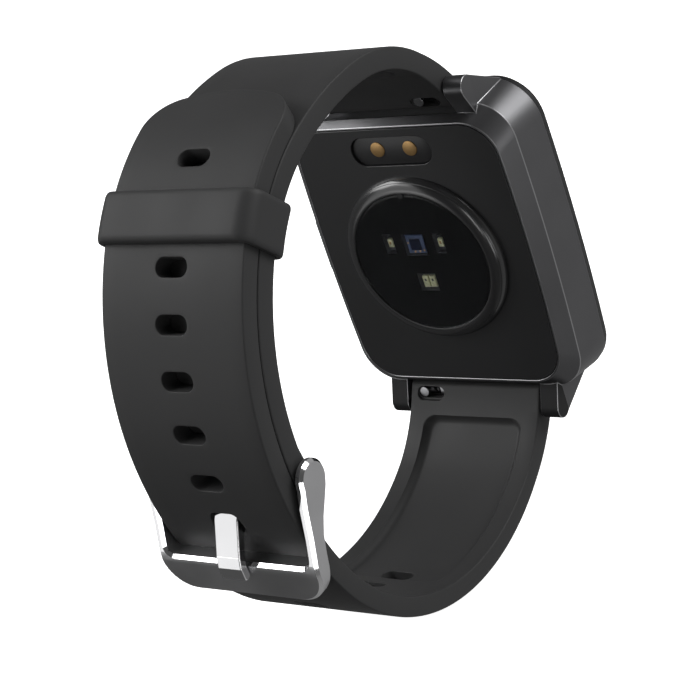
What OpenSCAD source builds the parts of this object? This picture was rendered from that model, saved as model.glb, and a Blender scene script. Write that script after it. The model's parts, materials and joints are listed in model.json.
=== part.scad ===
// Rectangular smartwatch, buckled, with a quick-release silicone strap.
// Millimetres. Origin: centre of the case back's flat face. +Z is 12 o'clock,
// +Y points out of the case back to the wrist, +X is 3 o'clock seen from the display.

/* [Case] */
// Half width of the case at its front edge
case_a = 18.1; // [17.9:0.1:18.2]
// Half height of the case at its front edge
case_b = 20.9; // [20.7:0.1:21.1]
// Depth of the crease line behind the case back
crease_y = 1.95; // [1.8:0.05:2.1]
// Depth of the frame's front edge behind the case back
front_y = 7.2; // [7.1:0.05:7.3]
// Whole depth from the case back to the flat of the glass
glass_y = 9.65; // [9.5:0.05:9.9]
// Half width of the back cover
cover_a = 15.25; // [15.1:0.05:15.3]
// Half height of the back cover
cover_b = 18.2; // [18.1:0.05:18.25]
// Thickness of the back cover
cover_t = 1.15; // [1.1:0.05:1.2]

/* [Lugs and spring bars] */
// Lug spacing, the nominal strap width with clearance
lug_gap = 20.6; // [20.4:0.1:20.8]
// Thickness of a lug across the watch
lug_t = 2.6; // [2.4:0.1:2.8]
// Depth of the spring bar axis behind the case back
bar_depth = 2.3; // [2.2:0.05:2.4]
// Height of the spring bar axis above the case centre
bar_z = 21.5; // [21.4:0.05:21.6]
// Travel of the quick-release knob
release_travel = 1.6; // [1.2:0.1:1.6]

/* [Strap] */
// Strap width
strap_w = 20; // [19.6:0.1:20]
// Thickness of the short strap
short_t = 2.7; // [2.6:0.05:2.7]
// Thickness of the long strap
long_t = 2.5; // [2.4:0.05:2.5]
// Spacing of the position holes along the strap
hole_pitch = 6.05; // [6:0.05:6.1]
// Number of position holes
hole_count = 14; // [14]
// Length of a position hole across the strap
hole_l = 4.6; // [4.4:0.1:4.7]
// Width of a position hole along the strap
hole_w = 2.3; // [2.2:0.1:2.4]

/* [Buckle] */
// Half width of the buckle over its arms
buckle_a = 11.45; // [11.4:0.05:11.6]
// Thickness of a buckle arm
arm_t = 1.2; // [1.1:0.05:1.2]
// Width of the tongue
tongue_w = 3.4; // [3.2:0.1:3.6]
// Thickness of the tongue
tongue_t = 1.1; // [1:0.05:1.1]

/* [Side button] */
// Length of the button cap along the case
button_l = 9; // [8:0.5:10]
// Width of the button cap
button_w = 2.6; // [2.4:0.1:2.8]
// Button travel
button_travel = 0.3; // [0.2:0.05:0.3]

/* [Hidden] */
$fn = 48;
eps = 0.01;

// Case outlines: [half width, half height, corner radius, bow of the sides]
front_rim = [case_a, case_b, 5.6, 0.0015];
crease_rim = [case_a - 0.86, case_b - 0.74, 4.8, 0.0016];
back_rim = [cover_a + 0.3, cover_b + 0.3, 4.6, 0.0019];
cover_rim = [cover_a, cover_b, 4.4, 0.002];
cavity_rim = [14.6, 17.5, 4, 0.0015];
panel_rim = [16, 18.8, 4, 0.0014];
glass_edge_r = 2.3;
bezel_y = front_y + 0.8;
glue_t = 0.15;
seal_t = 0.15;
corner_steps = 10;
lug_flare = 0.7;

// Sensor window and the parts under it, all centred on the case
ring_base_r = 11.58;
ring_seat_r = 9.85;
window_r = 9.66;
window_top = 1.5;
diode_at = [0.3, 2.5];
led_offset = 3.8;
led_at_z = 2.7;
low_led_at = [0, -2.9];
barrier_top = 0.85;
sensor_board_top = -0.75;

// Charging pill: centre, half length and half height, and its two contacts
pill_at = [0.3, 15.1];
pill_l = 11.85;
pill_h = 3.85;
contact_x = 2.42;
contact_z = 15.28;
contact_r = 1.1;

// Stack inside the case, as depths behind the case back
board_back = 5.0;
board_front = 5.7;
battery_back = 1.95;
battery_front = 4.6;
battery_low = -9.2;
motor_at = [7.7, -13.35];
motor_r = 4;
rotor_y = -3.1;
rotor_t = 1.4;
motor_shaft_r = 0.4;
button_y = -4.6;
button_out = case_a + 0.5;
button_stem_r = 0.7;
stem_end = 13.85;
plunger_r = 0.3;
clip_from = 14.3;
clip_to = 14.55;
groove_r = 0.5;
running_gap = 0.05;

// Strap loop in the side view: [y, z, heading], then arcs as [radius, sweep].
// Positive radii and sweeps turn left, negative ones turn right.
strap_gap = 0.12;
short_start = [46.45, 2, 90];
short_arcs = [[33.25, 38], [24.25, 35], [38.1, 20], [18.8, 38]];
tail_offset = short_t / 2 + strap_gap + long_t / 2;
tail_start = [short_start[0] + tail_offset, short_start[1], 90];
tail_arcs = [for (i = [0:2]) [short_arcs[i][0] + tail_offset, i == 2 ? 5.85 : short_arcs[i][1]]];
lower_start = [tail_start[0], tail_start[1], 270];
lower_arcs = [[-42, -25], [-28.5, -60], [-29, -33]];
degrees_per_step = 2.5;
first_hole_s = -1.76;
holes_above = 7;
knuckle_r = 1.7;
knuckle_clear = 0.8;
root_steps = 6;
tip_corner_r = 5;
tip_bow_r = 22;
bar_r = 0.9;
bar_bore_r = 0.6;
bar_half = strap_w / 2 - 0.1;
tip_r = 0.4;
tip_reach = 1.5;
plug_l = 0.7;
knob_end = 0.9;
recess_depth = 0.8;
recess_w = 15.2;
long_recess_s = 41.1;
recess_root_share = 0.65;
slot_l = 3.9;
slot_w = 1.6;
slot_tilt = 12;
top_slot_x = -6.6;
bottom_slot_x = 6.8;
knob_from_slot = 1.2;
knob_r = 0.55;
knob_h = 1.35;
knob_head_t = 0.3;
spring_l = 2.6;

// Buckle in the side view
pivot = [46.1, -1.4];
pivot_r = 0.72;
ear_r = 2.35;
strap_end_r = 1.55;
ring_r = 1.45;
buckle_corner_r = 4;
crossbar_top_z = -10.3;
crossbar_low_z = -15.2;
tongue_line = [[46.1, -1.4], [49.4, -5.5], [51.15, -9.2], [51.5, -10.4], [51.45, -11.5]];

// Keeper: it runs on the second arc of the short strap
keeper_from = 40.1;
keeper_to = 52.1;
keeper_wall = 1.25;
keeper_side = 0.85;
keeper_gap = 0.15;
keeper_in = short_arcs[1][0] - short_t / 2 - keeper_gap;
keeper_out = short_arcs[1][0] + tail_offset + long_t / 2 + keeper_gap;

case_grey = [0.2, 0.2, 0.21];
strap_black = [0.16, 0.16, 0.17];
steel = [0.75, 0.75, 0.77];
gold = [0.75, 0.5, 0.25];
board_green = [0.05, 0.3, 0.15];
flex_orange = [0.7, 0.4, 0.1];

// ---- Placing helpers ----

// Extrudes a shape drawn in X and Z from y = from to y = to
module along_y(from, to) {
    translate([0, to, 0]) rotate([90, 0, 0]) linear_extrude(to - from) children();
}

// Extrudes a shape drawn in Y and Z from x = from to x = to
module along_x(from, to) {
    translate([from, 0, 0]) rotate([90, 0, 90]) linear_extrude(to - from) children();
}

// Turns a profile of radius and y about the Y axis
module turned_y() {
    rotate([-90, 0, 0]) rotate_extrude() children();
}

// Rod along X at a place in the side view
module rod_x(at, r, from, to) {
    translate([from, at[0], at[1]]) rotate([0, 90, 0]) cylinder(r = r, h = to - from);
}

// Round post along Y at a place in X and Z
module post_y(at, r, from, to) {
    translate([at[0], to, at[1]]) rotate([90, 0, 0]) cylinder(r = r, h = to - from);
}

// Block from its lowest to its highest corner
module block(low, high) {
    translate(low) cube(high - low);
}

// Bar with round ends, l long over its ends
module stadium(l, w) {
    square([l - w, w], center = true);
    for (end = [-1, 1]) translate([end * (l - w) / 2, 0]) circle(d = w);
}

// ---- Case outlines ----

function corner(a, b, r, quarter) =
    let (sx = quarter == 0 || quarter == 3 ? 1 : -1, sz = quarter < 2 ? 1 : -1)
    [for (i = [0:corner_steps]) let (t = 90 * (quarter + i / corner_steps))
        [sx * (a - r) + r * cos(t), sz * (b - r) + r * sin(t)]];

// Side points between two corners, so that the bow shows
function side(a, b, r, sx, from) =
    [for (i = [1:7]) [sx * a, from * (b - r) * (1 - i / 4)]];

// Rounded rectangle whose long sides bow outward
function outline(rim) =
    let (a = rim[0], b = rim[1], r = rim[2], bow = rim[3])
    [for (p = concat(corner(a, b, r, 0), corner(a, b, r, 1), side(a, b, r, -1, 1),
                     corner(a, b, r, 2), corner(a, b, r, 3), side(a, b, r, 1, -1)))
        [p[0] * (1 - bow * p[1] * p[1] / a), p[1]]];

function inset(rim, d) = [rim[0] - d, rim[1] - d, max(0.5, rim[2] - d), rim[3]];

// Closed skin through outlines given as [y, rim], from back to front
module loft(stations) {
    rings = [for (s = stations) [for (p = outline(s[1])) [p[0], s[0], p[1]]]];
    n = len(rings[0]);
    last = len(rings) - 1;
    skin = [for (k = [0:last - 1], i = [0:n - 1])
        let (a = k * n + i, b = k * n + (i + 1) % n) [a, a + n, b + n, b]];
    polyhedron([for (ring = rings, p = ring) p],
        concat([[for (i = [0:n - 1]) i]], skin, [[for (i = [n - 1:-1:0]) last * n + i]]));
}

module mid_frame() {
    color(case_grey) difference() {
        union() {
            loft([[-0.05, back_rim], [-crease_y, crease_rim], [-front_y, front_rim]]);
            for (sx = [-1, 1], sz = [-1, 1])
                scale([sx, 1, sz]) lug();
        }
        along_y(-cover_t - seal_t, 1) polygon(outline(inset(cover_rim, -running_gap)));
        along_y(-front_y - 1, -cover_t + eps) polygon(outline(cavity_rim));
        along_y(-front_y - 1, -front_y + 0.8) polygon(outline(inset(panel_rim, -0.3)));
        for (sz = [-1, 1]) {
            rod_x([-bar_depth, sz * bar_z], knuckle_r + knuckle_clear, -lug_gap / 2, lug_gap / 2);
            for (sx = [-1, 1]) scale([sx, 1, 1])
                rod_x([-bar_depth, sz * bar_z], tip_r + running_gap, lug_gap / 2 - 1, lug_gap / 2 + 1.4);
        }
        along_x(button_out - 1.7, button_out + 2) translate([button_y, 0]) rotate(90)
            stadium(button_l + 0.3, button_w + 0.3);
        rod_x([button_y, 0], button_stem_r + running_gap, 14, button_out);
        rod_x([button_y, 0], 1.15, 15.8, 16.4);
    }
}

// Lug whose outer side flares to the front as the case does
module lug() {
    outer = lug_gap / 2 + lug_t;
    intersection() {
        along_x(lug_gap / 2, outer + lug_flare) lug_profile();
        translate([0, 0, 15]) linear_extrude(12) polygon([[lug_gap / 2 - 1, 2], [outer, 2],
            [outer, -crease_y], [outer + lug_flare, -front_y], [lug_gap / 2 - 1, -front_y]]);
    }
}

// Lug in the side view: it rises towards the wrist and has a round tip
module lug_profile() {
    centre = [-0.95, 22.75];
    r = 1.45;
    polygon(concat([[-1.35, 18.7]],
        [for (i = [0:8]) let (t = -24.8 + 143.5 * i / 8) centre + r * [cos(t), sin(t)]],
        [[-front_y + 0.05, 20.9], [-front_y + 0.05, 17.6], [-1.35, 17.6]]));
}

module back_cover() {
    color([0.1, 0.1, 0.1]) difference() {
        along_y(-cover_t, 0) polygon(outline(cover_rim));
        post_y([0, 0], ring_seat_r, -5, 5);
        along_y(-5, 5) translate(pill_at) stadium(pill_l + 0.1, pill_h + 0.1);
    }
}

// Adhesive ring between the cover and the frame's ledge
module back_seal() {
    color([0.3, 0.3, 0.3]) difference() {
        along_y(-cover_t - seal_t, -cover_t) polygon(outline(inset(cover_rim, 0.05)));
        along_y(-5, 5) polygon(outline(cavity_rim));
    }
}

module sensor_ring() {
    color([0.06, 0.06, 0.06]) turned_y()
        polygon([[8.9, -cover_t], [ring_seat_r - running_gap, -cover_t], [ring_seat_r - running_gap, 0],
            [ring_base_r, 0], [11.45, 0.3], [10.9, 0.85], [10.2, 1.25], [window_r + 0.1, 1.38],
            [window_r + 0.1, 0.88], [8.9, 0.88]]);
}

// Slightly domed window
module sensor_window() {
    color([0.03, 0.03, 0.03]) turned_y()
        polygon([[0, 0.9], [window_r, 0.9], [window_r, 1.3], [9.4, 1.4], [6, window_top - 0.03],
            [0, window_top]]);
}

// The two side LEDs' places
function side_leds() = [for (s = [-1, 1]) [diode_at[0] + s * led_offset, led_at_z]];

module led_slot(l, w) {
    rotate(90) stadium(l, w);
}

// Opaque insert that keeps each light in its own well
module light_barrier() {
    color([0.02, 0.02, 0.02]) difference() {
        post_y([0, 0], 8.8, sensor_board_top, barrier_top);
        along_y(-3, 3) {
            translate(diode_at) square([3.4, 3.2], center = true);
            for (at = side_leds()) translate(at) led_slot(3.2, 1.5);
            translate(low_led_at) square([3.1, 2.8], center = true);
        }
    }
}

module green_leds() {
    color([0.9, 0.85, 0.55]) for (at = side_leds(), end = [-1, 1])
        translate([at[0], 0, at[1] + end * 0.65]) block([-0.4, sensor_board_top, -0.45], [0.4, 0.3, 0.45]);
}

module red_ir_led() {
    color([0.9, 0.85, 0.6]) for (end = [-1, 1])
        translate([low_led_at[0] + end * 0.7, 0, low_led_at[1]])
            block([-0.5, sensor_board_top, -1], [0.5, 0.3, 1]);
}

module photodiode() {
    color([0.1, 0.13, 0.25]) translate([diode_at[0], 0, diode_at[1]])
        block([-1.5, sensor_board_top, -1.4], [1.5, 0.4, 1.4]);
}

module sensor_board() {
    color(board_green) post_y([0, 0], 8.8, sensor_board_top - 0.35, sensor_board_top);
}

// Flat cable from the sensor board to the main board, past the battery's side
module sensor_flex() {
    color(flex_orange) {
        block([7.2, sensor_board_top - 0.5, -1.5], [8.2, sensor_board_top - 0.35, 1.5]);
        block([8.2, -board_back + 0.15, -1.5], [8.35, sensor_board_top - 0.35, 1.5]);
        block([8.2, -board_back, -1.5], [10.5, -board_back + 0.15, 1.5]);
    }
}

module charge_insert() {
    color([0.08, 0.08, 0.08]) difference() {
        along_y(-cover_t, -0.35) translate(pill_at) stadium(pill_l, pill_h);
        for (s = [-1, 1]) post_y([s * contact_x, contact_z], contact_r + 0.15, -5, 5);
    }
}

module charge_contacts() {
    color(gold) for (s = [-1, 1]) {
        post_y([s * contact_x, contact_z], contact_r, -cover_t - 0.3, -0.2);
        post_y([s * contact_x, contact_z], contact_r + 0.3, -cover_t - 0.3, -cover_t);
    }
}

// Flat cable from the contacts down to the main board
module charge_flex() {
    flex_top = -cover_t - 0.3;
    color(flex_orange) {
        block([-4, flex_top - 0.15, 12.2], [4, flex_top, 16.6]);
        block([-4, -board_back, 12.2], [4, flex_top - 0.15, 12.35]);
    }
}

module charge_magnets() {
    color(steel) for (s = [-1, 1]) post_y([s * 7.6, 15], 1.6, -cover_t - 1.9, -cover_t - 0.4);
}

module front_bezel() {
    color([0.04, 0.04, 0.04]) difference() {
        along_y(-bezel_y, -front_y) polygon(outline(inset(front_rim, 0.05)));
        along_y(-20, 0) polygon(outline(inset(panel_rim, -0.25)));
    }
}

module glass_adhesive() {
    color([0.3, 0.3, 0.3]) difference() {
        along_y(-bezel_y - glue_t, -bezel_y) polygon(outline(inset(front_rim, 0.5)));
        along_y(-20, 0) polygon(outline(inset(panel_rim, -0.25)));
    }
}

// Cover glass with a rounded edge
module cover_glass() {
    back = bezel_y + glue_t;
    color([0.02, 0.02, 0.03]) loft(concat([[-back, inset(front_rim, 0.12)]],
        [for (i = [0:5]) let (t = 22 + 68 * i / 5)
            [-(glass_y - glass_edge_r) - glass_edge_r * sin(t),
             inset(front_rim, 0.1 + glass_edge_r * (1 - cos(t)))]]));
}

module display_panel() {
    color([0.05, 0.05, 0.08]) along_y(-bezel_y - glue_t, -6.6) polygon(outline(panel_rim));
}

// Steel plate that carries the display and shields the boards
module display_bracket() {
    color(steel) difference() {
        along_y(-6.35, -5.95) polygon(outline(inset(cavity_rim, 0.15)));
        along_y(-20, 0) translate([0, -14.6]) square([9, 1.4], center = true);
    }
}

// Flat cable from the panel's foot, through the bracket's slot, to the main board
module display_flex() {
    color(flex_orange) {
        block([-4, -6.6, -14.9], [4, -6.45, -13.6]);
        block([-4, -6.45, -14.75], [4, -board_front, -14.6]);
    }
}

// Board with screw holes, and a notch where the button's stem comes in
module main_board() {
    color(board_green) difference() {
        along_y(-board_front, -board_back) polygon(outline(inset(cavity_rim, 0.4)));
        for (at = board_screw_places()) post_y(at, 0.55, -10, 0);
        block([13.45, -board_front - 1, -1.5], [15, -board_back + 1, 1.5]);
    }
}

function board_screw_places() = [for (sx = [-1, 1], sz = [-1, 1]) [sx * 12.4, sz * 15]];

module board_screws() {
    color(steel) for (at = board_screw_places()) {
        post_y(at, 0.5, -5.9, -board_back);
        difference() {
            post_y(at, 0.95, -board_back, -board_back + 0.6);
            post_y(at, 0.35, -board_back + 0.3, 0);
        }
    }
}

// Drawn metal lid over the radio part of the board
module shield_can() {
    color(steel) difference() {
        block([-10.8, -board_back, 10.6], [-4.4, -3.6, 14.4]);
        block([-10.65, -board_back - 1, 10.75], [-4.55, -3.75, 14.25]);
    }
}

// Processor under the can, memory and motion sensor beside it
module board_chips() {
    color([0.1, 0.1, 0.1]) {
        block([-9.5, -board_back, 11.2], [-5.6, -4.1, 13.9]);
        block([5.2, -board_back, 10.8], [9.4, -4.1, 13.2]);
        block([-12.6, -board_back, -13.2], [-9.8, -4.2, -10.6]);
    }
}

module battery() {
    color([0.6, 0.62, 0.65]) block([-13.4, -battery_front, battery_low], [7.4, -battery_back, 10]);
}

module battery_pad() {
    color([0.2, 0.2, 0.2]) block([-12.4, -board_back, -8.2], [6.4, -battery_front, 9]);
}

// Battery's protection strip and its tab down to the board
module battery_tab() {
    color([0.85, 0.65, 0.1]) {
        block([-8, -3.9, battery_low - 0.8], [2, -2.6, battery_low]);
        block([-4, -board_back, battery_low - 0.8], [-2, -3.9, battery_low - 0.6]);
    }
}

// Printed aerial strip along the inside of the frame's top wall
module antenna() {
    color(flex_orange) block([-9, -5, 17.05], [9, -2.6, 17.2]);
}

module motor_case() {
    color(steel) difference() {
        post_y(motor_at, motor_r, -board_back, -2.3);
        post_y(motor_at, motor_r - 0.3, -board_back + 0.3, -2.6);
    }
}

module motor_shaft() {
    color(steel) post_y(motor_at, motor_shaft_r, -board_back + 0.3, -2.6);
}

// Half disc whose weight sits off the shaft
module motor_rotor() {
    color([0.5, 0.5, 0.5]) difference() {
        union() {
            intersection() {
                post_y(motor_at, motor_r - 0.55, rotor_y - rotor_t, rotor_y);
                translate([motor_at[0], rotor_y - rotor_t / 2, motor_at[1] - motor_r / 2])
                    cube([2 * motor_r, 2 * rotor_t, motor_r], center = true);
            }
            post_y(motor_at, 0.9, rotor_y - rotor_t, rotor_y);
        }
        post_y(motor_at, motor_shaft_r + running_gap, -10, 0);
    }
}

module button_switch() {
    color([0.7, 0.7, 0.7]) difference() {
        block([11.6, -board_back, -2.2], [13.4, -3.7, 2.2]);
        rod_x([button_y, 0], plunger_r + running_gap, 12.2, 14);
    }
}

module switch_plunger() {
    color("black") rod_x([button_y, 0], plunger_r, 12.6, stem_end);
}

// Cap and stem of the button in one piece; the clip's groove is near the inner end
module side_button() {
    color([0.25, 0.25, 0.26]) difference() {
        union() {
            along_x(button_out - 1.3, button_out) translate([button_y, 0]) rotate(90)
                stadium(button_l, button_w);
            rod_x([button_y, 0], button_stem_r, stem_end, button_out - 1);
        }
        difference() {
            rod_x([button_y, 0], 2, clip_from, clip_to);
            rod_x([button_y, 0], groove_r, clip_from - 1, clip_to + 1);
        }
    }
}

module button_seal() {
    color([0.1, 0.1, 0.1]) translate([16.1, button_y, 0]) rotate([0, 90, 0])
        rotate_extrude() translate([0.935, 0]) circle(r = 0.205);
}

// Retaining ring in the stem's groove, just inside the frame's wall
module button_clip() {
    color(steel) difference() {
        rod_x([button_y, 0], 1.1, clip_from, clip_to);
        rod_x([button_y, 0], groove_r, clip_from - 1, clip_to + 1);
    }
}

// ---- Strap loop ----

// Pose [y, z, heading] after a turn of signed radius r and signed sweep a
function turn(p, r, a) =
    [p[0] + r * (sin(p[2] + a) - sin(p[2])), p[1] + r * (cos(p[2]) - cos(p[2] + a)), p[2] + a];

// Pose at the start of arc i
function pose(start, arcs, i) =
    i == 0 ? start : let (q = pose(start, arcs, i - 1)) turn(q, arcs[i - 1][0], arcs[i - 1][1]);

// Pose at the path length s
function pose_at(start, arcs, s, i = 0) =
    let (r = arcs[i][0], a = arcs[i][1], l = r * a * PI / 180)
    s <= l || i == len(arcs) - 1 ? turn(start, r, s * 180 / (PI * r))
        : pose_at(turn(start, r, a), arcs, s - l, i + 1);

// A pose's point, moved to the left of its heading by off
function left_of(p, off) = [p[0] - off * sin(p[2]), p[1] + off * cos(p[2])];

// Points along the arcs, moved to the left of the path by off
function arc_points(start, arcs, off) =
    [for (i = [0:len(arcs) - 1])
        let (p = pose(start, arcs, i), r = arcs[i][0], a = arcs[i][1],
             steps = ceil(abs(a) / degrees_per_step))
        for (k = [(i == 0 ? 0 : 1):steps]) left_of(turn(p, r, a * k / steps), off)];

function reversed(v) = [for (i = [len(v) - 1:-1:0]) v[i]];

function after_first(v) = [for (i = [1:len(v) - 1]) v[i]];

// Strip between two offsets of the path
module strip(start, arcs, low, high) {
    polygon(concat(arc_points(start, arcs, low), reversed(arc_points(start, arcs, high))));
}

// Arc, as [radius, sweep], that leads a pose smoothly to a spring bar
function root_arc(p, bar) =
    let (run = [bar[0] - p[0], bar[1] - p[1]],
         ahead = run * [cos(p[2]), sin(p[2])],
         aside = run * [-sin(p[2]), cos(p[2])])
    [(run * run) / (2 * aside), 2 * atan(aside / ahead)];

// One side of the strap from a pose to its bar; it widens to the round end
function root_side(p, bar, half, side) =
    let (arc = root_arc(p, bar))
    [for (i = [1:root_steps - 1]) let (t = i / root_steps)
        left_of(turn(p, arc[0], arc[1] * t), side * (half + (knuckle_r - half) * t))];

// Round end of a strap about its spring bar, from the path's left side to its right
function root(p, bar, half) =
    let (ahead = p[2] + root_arc(p, bar)[1])
    concat(root_side(p, bar, half, 1),
        [for (i = [0:16]) let (w = ahead + 90 - 180 * i / 16) bar + knuckle_r * [cos(w), sin(w)]],
        reversed(root_side(p, bar, half, -1)));

// Slot for the release knob; it faces the wrist and leans to the case
module knob_slot(bar, x, lean) {
    translate([x, bar[0], bar[1]]) rotate([lean, 0, 0]) linear_extrude(4) stadium(slot_l, slot_w);
}

top_bar = [-bar_depth, bar_z];
bottom_bar = [-bar_depth, -bar_z];
top_lean = -90 - slot_tilt;
bottom_lean = -90 + slot_tilt;

// Bends the line of the tongue into a band of width w
module tongue_band(w, to = 4) {
    for (i = [0:to - 1]) {
        a = tongue_line[i];
        b = tongue_line[i + 1];
        translate(a) rotate(atan2(b[1] - a[1], b[0] - a[0]))
            translate([0, -w / 2]) square([norm(b - a), w]);
        translate(b) circle(d = w);
    }
}

module short_strap() {
    recess_start = pose(short_start, short_arcs, 2);
    recess_arcs = [short_arcs[2], short_arcs[3]];
    half = short_t / 2;
    color(strap_black) difference() {
        along_x(-strap_w / 2, strap_w / 2) {
            polygon(concat([pivot - [strap_end_r, 0]], arc_points(short_start, short_arcs, half),
                root(pose(short_start, short_arcs, 4), top_bar, half),
                reversed(arc_points(short_start, short_arcs, -half)), [pivot + [strap_end_r, 0]]));
            translate(pivot) circle(r = strap_end_r);
        }
        rod_x(top_bar, bar_r + running_gap, -20, 20);
        knob_slot(top_bar, top_slot_x, top_lean);
        along_x(-recess_w / 2, recess_w / 2)
            strip(recess_start, recess_arcs, half - recess_depth, half + 1);
        rod_x(pivot, pivot_r + running_gap, -20, 20);
        along_x(-tongue_w / 2 - 0.25, tongue_w / 2 + 0.25) {
            translate(pivot) circle(r = ring_r + 0.3);
            translate([pivot[0] - 0.9, pivot[1] - 2.2]) square([3, 2.2]);
        }
    }
}

// Pose of position hole k, counted from the hole nearest the buckle's pivot
function hole_pose(k) =
    let (s = first_hole_s + hole_pitch * k)
    s >= 0 ? pose_at(tail_start, tail_arcs, s) : pose_at(lower_start, lower_arcs, -s);

module long_strap() {
    half = long_t / 2;
    tail_end = pose(tail_start, tail_arcs, 3);
    color(strap_black) difference() {
        along_x(-strap_w / 2, strap_w / 2)
            polygon(concat(reversed(arc_points(tail_start, tail_arcs, -half)),
                after_first(arc_points(lower_start, lower_arcs, half)),
                root(pose(lower_start, lower_arcs, 3), bottom_bar, half),
                reversed(arc_points(lower_start, lower_arcs, -half)),
                after_first(arc_points(tail_start, tail_arcs, half))));
        for (k = [holes_above - hole_count:holes_above - 1]) {
            p = hole_pose(k);
            translate([0, p[0], p[1]]) rotate([p[2], 0, 0])
                translate([0, 0, -3]) linear_extrude(6) stadium(hole_l, hole_w);
        }
        along_x(-hole_l / 2, hole_l / 2) translate([0.25, 0.25]) tongue_band(tongue_t + 0.9, 2);
        translate([0, tail_end[0], tail_end[1]]) rotate([tail_end[2], 0, 0]) tip_corners();
        rod_x(bottom_bar, bar_r + running_gap, -20, 20);
        knob_slot(bottom_bar, bottom_slot_x, bottom_lean);
        along_x(-recess_w / 2, recess_w / 2)
            strip(pose_at(lower_start, lower_arcs, long_recess_s), long_recess_arcs(), -half - 1,
                recess_depth - half);
    }
}

// The rest of the lower arcs from the recess's first end, and part of the arc that leads to the bar
function long_recess_arcs() =
    let (first = lower_arcs[0], middle = lower_arcs[1], last = lower_arcs[2],
         used = (long_recess_s * 180 / PI - first[0] * first[1]) / middle[0],
         lead = root_arc(pose(lower_start, lower_arcs, 3), bottom_bar))
    [[middle[0], middle[1] - used], last, [lead[0], lead[1] * recess_root_share]];

// What shapes the strap's free end: round corners and a bowed edge. Local Y runs back along the strap
module tip_corners() {
    half = strap_w / 2;
    lean = asin((half - tip_corner_r) / (tip_bow_r - tip_corner_r));
    corner = [half - tip_corner_r, (tip_bow_r - tip_corner_r) * cos(lean) - tip_bow_r];
    edge = concat([for (i = [0:6]) let (w = (90 - lean) * i / 6) corner + tip_corner_r * [cos(w), sin(w)]],
        [for (i = [1:5]) let (w = 90 - lean + 2 * lean * i / 6) [0, -tip_bow_r] + tip_bow_r * [cos(w), sin(w)]],
        [for (i = [6:-1:0]) let (w = (90 - lean) * i / 6) [-corner[0] - tip_corner_r * cos(w),
            corner[1] + tip_corner_r * sin(w)]]);
    translate([0, 0, -3]) linear_extrude(6) polygon(concat(edge, [[-half - 1, corner[1]], [-half - 1, 1],
        [half + 1, 1], [half + 1, corner[1]]]));
}

// Closed loop around both straps; its outline is drawn in radius and x
module keeper_loop() {
    centre = arc_centre(pose(short_start, short_arcs, 1), short_arcs[1][0]);
    half_in = strap_w / 2 + keeper_gap;
    color(strap_black) translate([0, centre[0], centre[1]]) rotate([90, 0, 90]) rotate([0, 0, keeper_from])
        rotate_extrude(angle = keeper_to - keeper_from) difference() {
            rounded_box([keeper_in - keeper_wall, -half_in - keeper_side],
                [keeper_out + keeper_wall, half_in + keeper_side], 1.5);
            rounded_box([keeper_in, -half_in], [keeper_out, half_in], 0.3);
        }
}

function arc_centre(p, r) = [p[0] - r * sin(p[2]), p[1] + r * cos(p[2])];

// Rectangle from its low to its high corner, with round corners
module rounded_box(low, high, r) {
    translate(low + [r, 0]) square([high[0] - low[0] - 2 * r, high[1] - low[1]]);
    translate(low + [0, r]) square([high[0] - low[0], high[1] - low[1] - 2 * r]);
    for (u = [low[0] + r, high[0] - r], v = [low[1] + r, high[1] - r]) translate([u, v]) circle(r = r);
}

// ---- Buckle ----

// Arm in the side view, from the ear at the bar down to the crossbar
module arm_profile() {
    translate(pivot) circle(r = ear_r);
    polygon([[pivot[0] - 2.1, pivot[1] - 1.05], [44.8, -3.3], [46.5, -6], [47.4, -7.7], [47.95, -9.6],
        [48.5, -12], [49.1, -13.2], [50.3, -13.2], [50.75, crossbar_top_z], [49.9, -7.1],
        [49.6, -5.3], [49.2, -3.2], [pivot[0] + 2.2, pivot[1] + 0.83]]);
}

// Crossbar in the side view; its upper outer edge is bevelled under the tongue
module crossbar_profile() {
    polygon([[49.5, crossbar_top_z], [50.4, crossbar_top_z], [50.85, crossbar_top_z - 0.7],
        [50.5, crossbar_low_z], [48.9, crossbar_low_z]]);
}

module buckle_frame() {
    inner = buckle_a - arm_t;
    color(steel) difference() {
        intersection() {
            union() {
                for (s = [-1, 1]) scale([s, 1, 1]) along_x(inner, buckle_a) arm_profile();
                along_x(-buckle_a, buckle_a) crossbar_profile();
            }
            along_y(40, 56) rounded_box([-buckle_a, crossbar_low_z], [buckle_a, 8], buckle_corner_r);
        }
        rod_x(pivot, pivot_r + eps, -buckle_a + 0.3, buckle_a - 0.3);
    }
}

module buckle_bar() {
    color(steel) rod_x(pivot, pivot_r, -buckle_a + 0.35, buckle_a - 0.35);
}

module buckle_tongue() {
    color(steel) difference() {
        along_x(-tongue_w / 2, tongue_w / 2) {
            translate(pivot) circle(r = ring_r);
            difference() {
                tongue_band(tongue_t);
                translate(pivot) circle(r = 1);
            }
        }
        rod_x(pivot, pivot_r + running_gap, -20, 20);
    }
}

// ---- Spring bars ----

// Tube of a bar; the pin and its spring run in the bore from stop to the +X end
module bar_tube(bar, stop, knob_x, lean) {
    color(steel) difference() {
        rod_x(bar, bar_r, -bar_half, bar_half);
        rod_x(bar, bar_bore_r, stop, bar_half + 1);
        rod_x(bar, bar_bore_r, -bar_half - 1, -bar_half + plug_l);
        translate([knob_x - release_travel / 2, bar[0], bar[1]]) rotate([lean, 0, 0])
            linear_extrude(3) stadium(release_travel + 2 * knob_r + 0.2, 2 * knob_r + 0.1);
    }
}

module fixed_tip(bar) {
    color(steel) {
        rod_x(bar, bar_bore_r, -bar_half, -bar_half + plug_l);
        rod_x(bar, tip_r, -bar_half - tip_reach, -bar_half);
    }
}

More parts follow.
